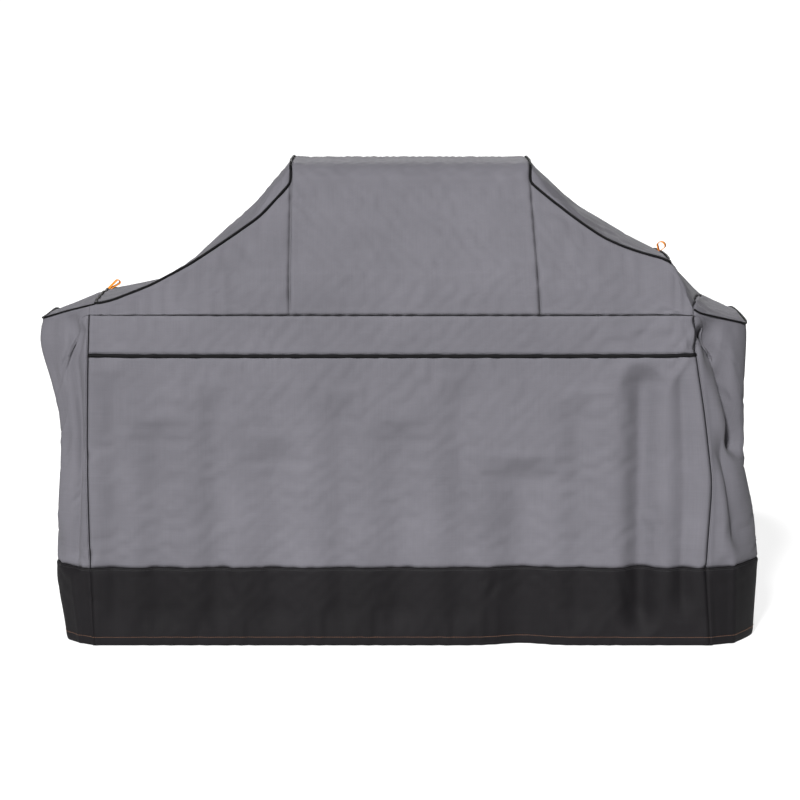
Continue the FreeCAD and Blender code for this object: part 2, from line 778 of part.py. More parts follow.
# ---- pull loops -----------------------------------------------------------------------------
def loop_hinge(cross_x):
    """Axis of a loop's sewn root: it lies on the top, clear of the cloth, along Y."""
    ahead, behind = ridge_z(cross_x + SLOPE_SPAN), ridge_z(cross_x - SLOPE_SPAN)
    slope = math.atan2(ahead - behind, 2 * SLOPE_SPAN)
    lift = LOOP_ROLL_R + LOOP_CLEAR
    return V(cross_x - lift * math.sin(slope), 0, ridge_z(cross_x) + lift * math.cos(slope))


def pull_loop(cross_x, length, rise, lean):
    """Flat webbing folded over and sewn at its root: a drop-shaped ring, as wide as the webbing."""
    half = LOOP_WIDTH / 2
    far_x = length - rise / 2

    def drop(offset):
        root_r = LOOP_ROLL_R - offset
        end_r = rise / 2 - offset
        reach = math.acos((end_r - root_r) / far_x)
        side = [
            V(x - r * math.cos(reach), -half, r * math.sin(reach))
            for x, r in ((0, root_r), (far_x, end_r))
        ]
        under = [V(p.x, p.y, -p.z) for p in side]
        web = face(side + under[::-1]).extrude(V(0, LOOP_WIDTH, 0))
        ends = [
            Part.makeCylinder(root_r, LOOP_WIDTH, V(0, -half, 0), V(0, 1, 0)),
            Part.makeCylinder(end_r, LOOP_WIDTH, V(far_x, -half, 0), V(0, 1, 0)),
        ]
        return web.fuse(ends)

    hollow = drop(LOOP_T).cut(Part.makeCylinder(LOOP_ROLL_R, LOOP_WIDTH, V(0, -half, 0), V(0, 1, 0)))
    whole = drop(0).cut(hollow).removeSplitter()
    whole.rotate(V(0, 0, 0), V(0, 1, 0), -lean)
    hinge = loop_hinge(cross_x)
    whole.translate(hinge)
    print("loop hinge at %.2f, 0, %.2f" % (hinge.x, hinge.z))
    return whole


def loop_gap(cross_x):
    """Room in the cross seam's piping for a loop's root."""
    hinge = loop_hinge(cross_x)
    half = LOOP_WIDTH / 2 + LOOP_CLEAR
    reach = 2 * (LOOP_ROLL_R + PIPING_R)
    return box(hinge.x - reach, hinge.x + reach, -half, half, hinge.z - reach, hinge.z + reach)


def build():
    os.makedirs("parts", exist_ok=True)
    nodes = {}
    nodes.update(upper_panels())
    nodes.update(lower_bands())
    nodes.update(seam_tapes())
    nodes["left_gusset_piping"] = gusset_piping(HOOD_LEFT_X, LEFT_CROSS_X, loop_gap(LEFT_CROSS_X))
    nodes["right_gusset_piping"] = gusset_piping(HOOD_RIGHT_X, RIGHT_CROSS_X, loop_gap(RIGHT_CROSS_X))
    nodes["left_shelf_piping"] = shelf_piping(LEFT_CROSS_X - PIPING_R, top_outline()[0][0])
    nodes["right_shelf_piping"] = shelf_piping(SEAM_RIGHT_HIGH_X, top_outline()[-1][0])
    nodes["front_band_piping"] = band_piping(-1)
    nodes["back_band_piping"] = band_piping(1)
    nodes["hem_drawcord"] = hem_drawcord()
    nodes["drawcord_eyelets"] = eyelets()
    nodes["drawcord_loop"] = drawcord_loop()
    nodes["cord_lock_barrel"] = cord_lock_barrel()
    nodes["cord_lock_plunger"] = cord_lock_plunger()
    nodes["cord_lock_spring"] = cord_lock_spring()
    nodes["left_pull_loop"] = pull_loop(LEFT_CROSS_X, LEFT_LOOP_LEN, LEFT_LOOP_RISE, LEFT_LOOP_LEAN)
    nodes["right_pull_loop"] = pull_loop(RIGHT_CROSS_X, RIGHT_LOOP_LEN, RIGHT_LOOP_RISE, RIGHT_LOOP_LEAN)
    for name, shape in nodes.items():
        export(name, shape)


build()
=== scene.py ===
import math
import bpy
import bmesh
import numpy as np
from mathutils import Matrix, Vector


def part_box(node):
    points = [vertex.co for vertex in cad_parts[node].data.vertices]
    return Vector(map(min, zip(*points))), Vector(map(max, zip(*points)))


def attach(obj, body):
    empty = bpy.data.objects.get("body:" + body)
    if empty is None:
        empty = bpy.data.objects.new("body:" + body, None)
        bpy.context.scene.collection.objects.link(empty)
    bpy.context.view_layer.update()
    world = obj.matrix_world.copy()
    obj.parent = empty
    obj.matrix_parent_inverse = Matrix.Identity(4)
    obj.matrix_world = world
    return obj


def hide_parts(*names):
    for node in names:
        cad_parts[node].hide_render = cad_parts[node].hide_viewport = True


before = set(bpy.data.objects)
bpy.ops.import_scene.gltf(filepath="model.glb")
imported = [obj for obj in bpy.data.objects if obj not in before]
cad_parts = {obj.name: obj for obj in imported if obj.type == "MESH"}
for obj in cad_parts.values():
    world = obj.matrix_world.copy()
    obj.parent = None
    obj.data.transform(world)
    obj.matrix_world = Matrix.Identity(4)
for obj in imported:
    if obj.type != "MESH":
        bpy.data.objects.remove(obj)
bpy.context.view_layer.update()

# A full-length grill cover, in metres, as it hangs over its grill. The cloth is one grid of points:
# a wall round the perimeter, closed by a top patch. A cloth simulation drapes it over a form, and
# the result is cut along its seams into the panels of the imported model.

# ---- sizes from the frame -------------------------------------------------------------------
HOOD_LOW, HOOD_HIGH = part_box("hood_centre_panel")
BAND_LOW, BAND_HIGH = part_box("front_band_panel")
LOWER_LOW, LOWER_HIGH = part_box("front_lower_band")
HALF_DEPTH = -BAND_LOW.y
HOOD_TOP_Z = HOOD_HIGH.z
HOOD_LEFT_X = HOOD_LOW.x
HOOD_FOOT_X = HOOD_HIGH.x
HOOD_RIGHT_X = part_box("right_top_gusset")[0].x
SEAM_LEFT_X = LOWER_LOW.x
SEAM_RIGHT_LOW_X = LOWER_HIGH.x
SEAM_LEAN = 0.065             # the right seam stands this much further in at its head
SEAM_RIGHT_HIGH_X = SEAM_RIGHT_LOW_X - SEAM_LEAN
CROSS_LEFT_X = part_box("left_shelf_gusset")[1].x
CROSS_RIGHT_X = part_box("right_top_gusset")[1].x
LOWER_BAND_Z = LOWER_HIGH.z
BAND_BOTTOM_Z = BAND_LOW.z
BAND_TOP_Z = BAND_HIGH.z
HALF_WIDTH = -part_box("left_side_panel")[0].x
LOCK_LOW, LOCK_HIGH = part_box("cord_lock_barrel")
EYELET_PROUD = 0.0008         # how far the eyelets stand out of the hem
HEM_RIGHT_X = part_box("drawcord_eyelets")[1].x - EYELET_PROUD

# ---- sizes of the drape ---------------------------------------------------------------------
CLOTH_T = 0.0012
HEM_LIFT = 0.004              # the folded hem's lowest line over the ground
STITCH_Z = 0.026
FLAT_Y = 0.190                # half depth of the flat part of each end
CORNER_IN = 0.152             # the slanted corner is this wide on the left
CORNER_IN_RIGHT = 0.130

# the front face's middle line: height, half depth
FACE = [(0.0, 0.330), (0.900, 0.330), (0.956, 0.322), (1.170, 0.190), (1.222, 0.150)]
CRISP_FACE = 0.014            # the face's bends are rounded off over this on the hood
SOFT_FACE = 0.090             # and over this on the shoulders
RIDGE = [                     # the top's middle line: x, height
    (-0.912, 0.821), (-0.772, 0.876), (-0.615, 0.907), (-0.536, 0.962), (-0.379, 1.105),
    (-0.278, 1.222), (0.328, 1.222), (0.452, 1.105), (0.609, 1.012), (0.684, 0.975),
    (0.714, 0.928), (0.793, 0.857), (0.886, 0.824),
]
EDGE = [                      # the top edge, where the wall meets the top: x, height
    (-0.912, 0.802), (-0.840, 0.826), (-0.772, 0.838), (-0.724, 0.845), (-0.625, 0.882),
    (-0.526, 0.945), (-0.426, 1.024), (-0.350, 1.092), (-0.300, 1.145), (-0.278, 1.170),
    (0.328, 1.170), (0.372, 1.134), (0.440, 1.083), (0.501, 1.040), (0.560, 1.010),
    (0.620, 0.985), (0.668, 0.965), (0.700, 0.925), (0.735, 0.862), (0.793, 0.838), (0.886, 0.796),
]
FRONT_LIFT = [                # the front edge sits higher than the back one by this much: x, height
    (-0.912, 0.024), (-0.840, 0.026), (-0.772, 0.036), (-0.724, 0.038), (-0.625, 0.039),
    (-0.526, 0.028), (-0.426, 0.014), (-0.350, 0.0), (0.520, 0.0), (0.600, 0.008),
    (0.650, 0.016), (0.690, 0.026), (0.735, -0.006), (0.793, 0.002), (0.886, 0.020),
]
KNEE_OUT = 0.55               # the slanted corners bend at this share of their width
KNEE_BACK = 0.030             # and lie this far behind the front there
LEFT_SIDE = [                 # height, half width
    (0.0, 0.860), (0.030, 0.862), (0.160, 0.888), (0.300, 0.880), (0.470, 0.864),
    (0.560, 0.860), (0.660, 0.877), (0.745, 0.912), (0.800, 0.924), (0.821, 0.912),
]
RIGHT_SIDE = [
    (0.0, 0.918), (0.030, 0.918), (0.190, 0.928), (0.300, 0.918), (0.380, 0.902),
    (0.445, 0.882), (0.560, 0.880), (0.660, 0.878), (0.770, 0.884), (0.812, 0.882),
]

EDGE_GAP = 0.008              # least height between the band and the top edge
BAND_LEAST = 0.06             # least height of the band's rows
LOOSE_DROP = 0.22             # on the ends the band's rows hang this far under the edge
LOOSE_BAND = 0.09             # and are this high
RIGHT_SEAM = [                # the front-right seam wanders as it hangs: height, x
    (0.0, SEAM_RIGHT_LOW_X - 0.010), (LOWER_BAND_Z, SEAM_RIGHT_LOW_X - 0.024),
    (0.420, SEAM_RIGHT_LOW_X - 0.012), (0.600, SEAM_RIGHT_LOW_X - 0.034),
    (BAND_BOTTOM_Z, SEAM_RIGHT_LOW_X - 0.058), (BAND_TOP_Z, SEAM_RIGHT_HIGH_X),
]

GRID = 0.018                  # about one step of the cloth that is draped
FINER = 2                     # the fine cloth has this many steps for each of the grid's
CORNER_COLUMNS = 10
RIGHT_SHOULDER_COLUMNS = 5
SIDE_COLUMNS = 24
HOOD_POWER = 7.0              # how boxy the top is across the hood
POWER_DROP = 4.6              # and how much rounder it is away from the hood
CROSS_BOW = 0.055             # the right shelf's inner seam bows out by this in its middle


def smooth_step(t):
    t = np.clip(t, 0.0, 1.0)
    return t * t * (3 - 2 * t)


def rounded(x, steps, blur):
    """Straight-line lookup in (x, value) pairs, its corners rounded off over blur each way."""
    xs = [p[0] for p in steps]
    ys = [p[1] for p in steps]
    weights = {-1.0: 1, -0.5: 2, 0.0: 3, 0.5: 2, 1.0: 1}
    total = sum(w * np.interp(np.asarray(x) + k * blur, xs, ys) for k, w in weights.items())
    return total / sum(weights.values())


# ---- camera and light -----------------------------------------------------------------------
def aim(thing, target):
    direction = Vector(target) - thing.location
    thing.rotation_euler = direction.to_track_quat("-Z", "Y").to_euler()


def link(thing):
    bpy.context.scene.collection.objects.link(thing)
    return thing


def make_camera():
    camera = link(bpy.data.objects.new("camera", bpy.data.cameras.new("camera")))
    camera.data.lens = 119.4
    camera.data.sensor_width = 36.0
    camera.data.clip_end = 100.0
    camera.location = (0.0, -6.93, 1.6)
    aim(camera, (0.0, -HALF_DEPTH, 0.634))
    bpy.context.scene.camera = camera


def sun_light(name, direction, strength, spread):
    light = link(bpy.data.objects.new(name, bpy.data.lights.new(name, "SUN")))
    light.data.energy = strength
    light.data.angle = math.radians(spread)
    light.rotation_euler = Vector(direction).to_track_quat("-Z", "Y").to_euler()


make_camera()


# ---- shader helpers -------------------------------------------------------------------------
class Nodes:
    """Short ways to add nodes to a tree."""

    def __init__(self, tree):
        self.tree = tree

    def node(self, kind, **inputs):
        made = self.tree.nodes.new(kind)
        for name, value in inputs.items():
            self.join(value, made.inputs[name.replace("_", " ")])
        return made

    def join(self, value, socket):
        if isinstance(value, bpy.types.NodeSocket):
            self.tree.links.new(value, socket)
        else:
            socket.default_value = value

    def math(self, operation, *values):
        made = self.tree.nodes.new("ShaderNodeMath")
        made.operation = operation
        for socket, value in zip(made.inputs, values):
            self.join(value, socket)
        return made.outputs[0]

    def span(self, value, reach, levels):
        """The value mapped from reach to levels, and held level beyond them."""
        made = self.node("ShaderNodeMapRange", Value=value)
        for socket, level in zip(("From Min", "From Max", "To Min", "To Max"), (*reach, *levels)):
            made.inputs[socket].default_value = level
        return made.outputs["Result"]

    def split(self, vector):
        return self.node("ShaderNodeSeparateXYZ", Vector=vector).outputs

    def place(self, kind="Object"):
        return self.tree.nodes.new("ShaderNodeTexCoord").outputs[kind]


class Shader(Nodes):
    """A Principled material."""

    def __init__(self, name, **values):
        self.material = bpy.data.materials.new(name)
        self.material.use_nodes = True
        super().__init__(self.material.node_tree)
        self.base = self.tree.nodes["Principled BSDF"]
        for socket, value in values.items():
            self.base.inputs[socket.replace("_", " ")].default_value = value

    def noise(self, vector, scale, detail=3.0, roughness=0.5):
        made = self.node("ShaderNodeTexNoise", Vector=vector, Scale=scale, Detail=detail, Roughness=roughness)
        return made.outputs["Fac"]

    def scaled(self, vector, scale):
        return self.node("ShaderNodeMapping", Vector=vector, Scale=scale).outputs["Vector"]

    def ramp(self, value, low, high, stops=(0.0, 1.0)):
        made = self.node("ShaderNodeValToRGB", Fac=value)
        for element, stop, colour in zip(made.color_ramp.elements, stops, (low, high)):
            element.position = stop
            element.color = (*colour, 1.0)
        return made.outputs["Color"]

    def mix(self, share, a, b):
        made = self.tree.nodes.new("ShaderNodeMix")
        made.data_type = "RGBA"
        self.join(share, made.inputs["Factor"])
        self.join(a, made.inputs[6])
        self.join(b, made.inputs[7])
        return made.outputs[2]

    def bump(self, height, strength, distance, normal=None):
        made = self.node("ShaderNodeBump", Height=height, Strength=strength, Distance=distance)
        if normal is not None:
            self.join(normal, made.inputs["Normal"])
        return made.outputs["Normal"]

    def uv(self):
        made = self.tree.nodes.new("ShaderNodeUVMap")
        made.uv_map = "cloth"
        return made.outputs["UV"]

    def finished(self, colour, normal, tone, smoothest, roughest):
        """The material with its colour, its normal and a roughness that follows the tone."""
        self.join(colour, self.base.inputs["Base Color"])
        self.join(normal, self.base.inputs["Normal"])
        self.join(self.ramp(tone, (smoothest,) * 3, (roughest,) * 3), self.base.inputs["Roughness"])
        return self.material


def woven(name, dark, light, thread, roughness, sheen, worn, gloss=0.2):
    """Plain-weave polyester: thread-scale bump, slubs along both thread directions, soft mottling."""
    s = Shader(name, Sheen_Weight=sheen, Sheen_Roughness=0.5, Specular_IOR_Level=gloss)
    uv = s.uv()
    place = s.place()
    across, along = 1.0 / (2.2 * thread), 9.0
    warp = s.noise(s.scaled(uv, (across, along, 1.0)), 1.0, 2.0)
    weft = s.noise(s.scaled(uv, (along, across, 1.0)), 1.0, 2.0)
    slubs = s.math("ADD", warp, weft)
    cloudy = s.noise(place, 5.0, 4.0, 0.6)
    tone = s.math("MULTIPLY_ADD", cloudy, 0.55, s.math("MULTIPLY", slubs, 0.225))
    dust = s.ramp(s.noise(place, 23.0, 5.0, 0.65), (0.0,) * 3, (1.0,) * 3, (0.52, 0.80))
    dusty = (*[min(1.0, c * 1.7 + 0.01) for c in light], 1.0)
    colour = s.mix(s.math("MULTIPLY", dust, worn), s.ramp(tone, dark, light, (0.32, 0.68)), dusty)
    turns = math.pi / thread
    waves = [s.math("SINE", s.math("MULTIPLY", axis, turns)) for axis in s.split(uv)[:2]]
    threads = s.bump(s.math("MULTIPLY", *waves), 0.45, 0.00018)
    soft = s.bump(s.noise(place, 38.0, 4.0, 0.6), 0.35, 0.0010, threads)
    return s.finished(colour, soft, s.noise(place, 12.0, 3.0), roughness - 0.06, roughness + 0.06)


def corded(name, dark, light, turns_per_m, roughness, gloss=0.35):
    """Piping, cord or webbing: ribs that run across its length."""
    s = Shader(name, Specular_IOR_Level=gloss)
    angle, length, _ = s.split(s.uv())
    ribs = s.math("SINE", s.math("ADD", s.math("MULTIPLY", length, turns_per_m * 2 * math.pi), angle))
    cloudy = s.noise(s.place(), 60.0, 4.0, 0.6)
    colour = s.ramp(s.math("MULTIPLY_ADD", ribs, 0.18, cloudy), dark, light, (0.25, 0.80))
    return s.finished(colour, s.bump(ribs, 0.5, 0.0003), cloudy, roughness - 0.08, roughness + 0.08)


def moulded(name, dark, light, roughness):
    s = Shader(name, Specular_IOR_Level=0.5)
    cloudy = s.noise(s.place(), 80.0, 4.0)
    grain = s.bump(s.noise(s.place(), 900.0, 3.0), 0.25, 0.0001)
    return s.finished(s.ramp(cloudy, dark, light), grain, cloudy, roughness - 0.07, roughness + 0.09)


def metal(name, dark, light, roughness):
    s = Shader(name, Metallic=1.0)
    cloudy = s.noise(s.place(), 300.0, 4.0)
    grain = s.bump(s.noise(s.place(), 1500.0, 2.0), 0.15, 0.00005)
    return s.finished(s.ramp(cloudy, dark, light), grain, cloudy, roughness - 0.08, roughness + 0.12)


# dark, light, thread, roughness, sheen, worn, gloss
GREY = woven("grey_polyester", (0.069, 0.067, 0.076), (0.092, 0.089, 0.101), 0.0011, 0.80, 0.03, 0.05, 0.12)
BLACK = woven(
    "black_polyester", (0.0034, 0.0030, 0.0035), (0.0062, 0.0055, 0.0064), 0.0011, 0.72, 0.0, 0.05, 0.10,
)
TAPE = woven("seam_tape", (0.030, 0.030, 0.033), (0.046, 0.045, 0.050), 0.0008, 0.80, 0.10, 0.05)
# dark, light, ribs to a metre, roughness, gloss
PIPING = corded("black_piping", (0.0015, 0.0015, 0.0018), (0.0050, 0.0046, 0.0052), 500.0, 0.60, 0.08)
CORD = corded("black_cord", (0.008, 0.008, 0.009), (0.028, 0.027, 0.029), 420.0, 0.66)
ORANGE = corded("orange_webbing", (0.46, 0.13, 0.003), (0.66, 0.23, 0.006), 620.0, 0.70)
ORANGE_THREAD = corded("orange_thread", (0.110, 0.052, 0.030), (0.170, 0.085, 0.048), 900.0, 0.60)
GREY_THREAD = corded("grey_thread", (0.034, 0.033, 0.037), (0.058, 0.056, 0.063), 900.0, 0.60)
# painted seam shadow: a near-black colour for beads that stand in for the shade in the corner and band-top
# seams
PAINTED_SEAM_SHADOW = corded("seam_edge", (0.0060, 0.0058, 0.0070), (0.0120, 0.0116, 0.0140), 700.0, 0.60, 0.1)
BLACK_THREAD = corded("black_thread", (0.012, 0.012, 0.013), (0.030, 0.030, 0.032), 900.0, 0.60)
PLASTIC = moulded("lock_plastic", (0.012, 0.012, 0.013), (0.022, 0.022, 0.023), 0.42)
STEEL = metal("spring_steel", (0.50, 0.50, 0.51), (0.68, 0.68, 0.69), 0.28)
NICKEL = metal("eyelet_metal", (0.10, 0.10, 0.105), (0.22, 0.22, 0.225), 0.35)


# ---- the drawcord's free loop ---------------------------------------------------------------
LOCK_X = (LOCK_LOW.x + LOCK_HIGH.x) / 2
CORD_D = 0.0035
EXIT = (HEM_RIGHT_X + 0.0028, 0.012, 0.013)
LOOP_ROUTE = [                # out from the middle of the lock, y, z
    (-0.0140, 0.0120, 0.01300), (-0.0073, 0.0127, 0.01300), (-0.0030, 0.0176, 0.01300),
    (-0.0017, 0.0270, 0.01300), (-0.0020, 0.0430, 0.01300), (-0.0020, 0.0730, 0.01300),
    (-0.0040, 0.0880, 0.00960), (-0.0083, 0.1010, 0.00520), (-0.0116, 0.1150, 0.00255),
    (-0.0123, 0.1280, 0.00195), (-0.0076, 0.1345, 0.00195), (0.0000, 0.1369, 0.00195),
    (0.0076, 0.1345, 0.00195), (0.0123, 0.1280, 0.00195), (0.0116, 0.1150, 0.00255),
    (0.0083, 0.1010, 0.00520), (0.0041, 0.0880, 0.00960), (0.0020, 0.0730, 0.01300),
    (0.0020, 0.0430, 0.01300), (0.0026, 0.0240, 0.01300), (0.0029, 0.0055, 0.01300),
    (0.0007, -0.0045, 0.01300), (-0.0054, -0.0106, 0.01300), (-0.0140, -0.0120, 0.01300),
]


def nurbs_cord(name, points, diameter, material):
    curve = bpy.data.curves.new(name, "CURVE")
    curve.dimensions = "3D"
    spline = curve.splines.new("NURBS")
    spline.points.add(len(points) - 1)
    for point, place in zip(spline.points, points):
        point.co = (*place, 1.0)
    spline.order_u = 3
    spline.use_endpoint_u = True
    spline.resolution_u = 8
    curve.bevel_depth = diameter / 2
    curve.bevel_resolution = 4
    curve.materials.append(material)
    return link(bpy.data.objects.new(name, curve))


loop_cord = nurbs_cord("drawcord_free_loop", [(LOCK_X + o, y, z) for o, y, z in LOOP_ROUTE], CORD_D, CORD)
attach(loop_cord, "cover")
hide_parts("drawcord_loop")


# ---- the grid of the cloth ------------------------------------------------------------------
def steps_for(length):
    return max(1, round(length / GRID))


# columns of the front, from the left corner to the right one, stop by stop
COUNTS = [
    CORNER_COLUMNS,
    1,
    steps_for(HOOD_LEFT_X - CROSS_LEFT_X),
    steps_for(HOOD_FOOT_X - HOOD_LEFT_X),
    steps_for(CROSS_RIGHT_X - HOOD_FOOT_X),
    RIGHT_SHOULDER_COLUMNS,
    CORNER_COLUMNS,
]
STOPS = np.cumsum([0] + COUNTS)
I_SEAM_L, I_CROSS_L, I_HOOD_L, I_HOOD_R, I_CROSS_R, I_SEAM_R, NX = STOPS[1:]
NY = SIDE_COLUMNS
PERIMETER = 2 * (NX + NY)

ROWS_HEM = 1                  # up to the hem's stitching
ROWS_LOWER = 10
ROWS_SKIRT = steps_for(BAND_BOTTOM_Z - LOWER_BAND_Z)
ROWS_BAND = steps_for(BAND_TOP_Z - BAND_BOTTOM_Z)
ROWS_TOP = steps_for(HOOD_TOP_Z - BAND_TOP_Z)
R_HEM = ROWS_HEM
R_LOWER = R_HEM + ROWS_LOWER
R_SKIRT = R_LOWER + ROWS_SKIRT
R_BAND = R_SKIRT + ROWS_BAND
NR = R_BAND + ROWS_TOP


def seam_right_x(z):
    return rounded(z, RIGHT_SEAM, 0.04)


def seam_left_x(z):
    return SEAM_LEFT_X - 0.010 * np.sin(np.pi * np.clip(z / BAND_TOP_Z, 0, 1))


def front_x(i, z):
    """x of front column i, between the corner seams, at height z."""
    left, right = seam_left_x(z), seam_right_x(z)
    flare = (HOOD_FOOT_X - HOOD_RIGHT_X) * np.clip((z - BAND_TOP_Z) / (HOOD_TOP_Z - BAND_TOP_Z), 0, 1)
    stops = [left, CROSS_LEFT_X, HOOD_LEFT_X, HOOD_FOOT_X - flare, CROSS_RIGHT_X, right]
    return np.interp(i, [I_SEAM_L, I_CROSS_L, I_HOOD_L, I_HOOD_R, I_CROSS_R, I_SEAM_R], stops)


def half_width(z, side):
    return rounded(z, LEFT_SIDE if side < 0 else RIGHT_SIDE, 0.05)


def corner_half_depth(width, side):
    """Half depth where the slanted corner meets the end, for an end that stands at width."""
    corner = CORNER_IN if side < 0 else CORNER_IN_RIGHT
    return FLAT_Y + (HALF_WIDTH - width) / corner * (HALF_DEPTH - FLAT_Y)


def ridge_z(x):
    return rounded(x, RIDGE, 0.012)


def edge_z(x):
    return rounded(x, EDGE, 0.010)


def front_lift(x):
    return float(rounded(x, FRONT_LIFT, 0.015))


def from_hood(x):
    """How far x is past the hood's sides."""
    return max(HOOD_LEFT_X - x, x - HOOD_RIGHT_X, 0.0)


def face_y(x, z):
    """Half depth of the front face. The crease is sharp on the hood and gone from the shoulders."""
    share = smooth_step(from_hood(x) / 0.15)
    return rounded(z, FACE, CRISP_FACE) * (1 - share) + rounded(z, FACE, SOFT_FACE) * share


def wall_keys(k):
    """Which side wall column k is on, and its number there."""
    if k < NX:
        return "front", k
    if k < NX + NY:
        return "right", k - NX
    if k < 2 * NX + NY:
        return "back", 2 * NX + NY - k
    return "left", 2 * NX + 2 * NY - k


def key_heights(top, spread_share):
    """Heights of the hem, stitching, lower seam, band bottom, band top and top edge of a column."""
    band_top = min(BAND_TOP_Z, top - EDGE_GAP)
    band_bottom = min(BAND_BOTTOM_Z, band_top - BAND_LEAST)
    loose_top = top - LOOSE_DROP
    loose_bottom = loose_top - LOOSE_BAND
    band_top += (loose_top - band_top) * spread_share
    band_bottom += (loose_bottom - band_bottom) * spread_share
    return [HEM_LIFT, STITCH_Z, LOWER_BAND_Z, band_bottom, band_top, top]


def column_heights(top, spread_share):
    keys = key_heights(top, spread_share)
    return np.interp(np.arange(NR + 1), [0, R_HEM, R_LOWER, R_SKIRT, R_BAND, NR], keys)


def between(a, b, t):
    return tuple(p + (q - p) * t for p, q in zip(a, b))


def end_point(z, side, corner_share, side_share):
    """A point round the end: corner_share from the front seam to the corner, then side_share."""
    width = float(half_width(z, side))
    y = corner_half_depth(width, side)
    seam = (seam_left_x(z) if side < 0 else seam_right_x(z), -HALF_DEPTH)
    corner = (side * width, -y)
    if corner_share == 1.0:
        return between(corner, (side * width, y), side_share)
    bend = knee(z, seam, corner)
    if corner_share > KNEE_OUT:
        return between(bend, corner, (corner_share - KNEE_OUT) / (1.0 - KNEE_OUT))
    return between(seam, bend, corner_share / KNEE_OUT)


def knee(z, a, b):
    """Where the slanted corner bends. It fades out under the shelf's edge."""
    share = float(smooth_step((0.830 - z) / 0.07))
    x, straight = between(a, b, KNEE_OUT)
    return x, straight + (-HALF_DEPTH + KNEE_BACK - straight) * share


def wall_point(kind, index, z):
    if kind in ("left", "right"):
        side = -1 if kind == "left" else 1
        x, y = end_point(z, side, 1.0, index / NY)
        return x, y, z
    mirror = 1.0 if kind == "front" else -1.0
    if index < I_SEAM_L:
        x, y = end_point(z, -1, 1.0 - index / I_SEAM_L, 0.0)
    elif index > I_SEAM_R:
        x, y = end_point(z, 1, (index - I_SEAM_R) / (NX - I_SEAM_R), 0.0)
    else:
        x = float(front_x(index, z))
        y = -float(face_y(x, z))
    return x, y * mirror, z


def column_top(kind, index):
    """Height of the top edge over a wall column."""
    if kind in ("left", "right"):
        end = RIDGE[0] if kind == "left" else RIDGE[-1]
        low = EDGE[0][1] if kind == "left" else EDGE[-1][1]
        t = abs(2 * index / NY - 1)
        if 2 * index < NY:
            low += front_lift(end[0])
        return end[1] + (low - end[1]) * t ** 2.5
    if index < I_SEAM_L:
        x = RIDGE[0][0] + (SEAM_LEFT_X - RIDGE[0][0]) * index / I_SEAM_L
    elif index > I_SEAM_R:
        x = SEAM_RIGHT_HIGH_X + (RIDGE[-1][0] - SEAM_RIGHT_HIGH_X) * (index - I_SEAM_R) / (NX - I_SEAM_R)
    else:
        x = float(front_x(index, HOOD_TOP_Z))
    return float(edge_z(x)) + (front_lift(x) if kind == "front" else 0.0)


def loose_share(kind, index):
    """0 between the corner seams, where the rows follow the band's seams, rising to 1 on the ends."""
    if kind in ("left", "right"):
        return 1.0
    if index < I_SEAM_L:
        return float(smooth_step(1.0 - index / I_SEAM_L))
    if index > I_SEAM_R:
        return float(smooth_step((index - I_SEAM_R) / (NX - I_SEAM_R)))
    return 0.0


def build_wall():
    wall = np.zeros((NR + 1, PERIMETER, 3))
    for k in range(PERIMETER):
        kind, index = wall_keys(k)
        heights = column_heights(column_top(kind, index), loose_share(kind, index))
        for r, z in enumerate(heights):
            wall[r, k] = wall_point(kind, index, z)
    return wall


def rim_column(i, j, nx=NX, ny=NY):
    """Wall column under a point on the rim of a top patch of nx by ny quads."""
    if j == 0:
        return i
    if i == nx:
        return nx + j
    if j == ny:
        return 2 * nx + ny - i
    return (2 * nx + 2 * ny - j) % (2 * nx + 2 * ny)


def sew_rim(wall, top):
    """Lays the rim of the top patch on the wall's top edge."""
    nx, ny = top.shape[0] - 1, top.shape[1] - 1
    for i in range(nx + 1):
        for j in range(ny + 1):
            if i in (0, nx) or j in (0, ny):
                top[i, j] = wall[-1, rim_column(i, j, nx, ny)]
    return top


def build_top(wall):
    top = np.zeros((NX + 1, NY + 1, 3))
    for i in range(NX + 1):
        front, back = wall[-1, rim_column(i, 0)], wall[-1, rim_column(i, NY)]
        middle_x = front[0]
        if I_CROSS_R < i < NX:
            reach = 1.0 - abs(i - I_SEAM_R) / (NX - I_SEAM_R if i > I_SEAM_R else I_SEAM_R - I_CROSS_R)
            middle_x += CROSS_BOW * reach
        power = HOOD_POWER - POWER_DROP * float(smooth_step(from_hood(front[0]) / 0.20))
        for j in range(NY + 1):
            u = 2 * j / NY - 1
            t = 0.5 * u + 0.5 * math.sin(u * math.pi / 2)
            x = middle_x + (front[0] - middle_x) * abs(t)
            rise = float(ridge_z(x)) - (front[2] + back[2]) / 2
            y, base = front[1:] + (back[1:] - front[1:]) * (t + 1) / 2
            top[i, j] = x, y, base + max(rise, 0.0) * (1 - abs(t) ** power)
    return sew_rim(wall, top)


def round_corners(wall):
    """Rounds the wall's slanted corners off along each row, leaving the front seams crisp."""
    for _ in range(3):
        eased = (np.roll(wall, 1, 1) + 2 * wall + np.roll(wall, -1, 1)) / 4
        for k in range(PERIMETER):
            kind, index = wall_keys(k)
            near = min(abs(index), abs(NX - index)) if kind in ("front", "back") else min(index, NY - index)
            if near <= 4:
                wall[:, k, :2] = eased[:, k, :2]


# ---- sewn-in folds --------------------------------------------------------------------------
def fold(wall, kind, at, width, depth, low, high, slant=0.0):
    """A soft fold pushed into (or, negative, out of) one side of the wall, between two heights."""
    normals = grid_normals(wall)
    for k in range(PERIMETER):
        here, index = wall_keys(k)
        if here != kind:
            continue
        for r in range(NR):
            z = wall[r, k, 2]
            middle = at + slant * (z - low)
            across = math.exp(-(((index - middle) / width) ** 2))
            up = float(smooth_step((z - low) / 0.08) * smooth_step((high - z) / 0.08))
            wall[r, k] -= normals[r, k] * depth * across * up


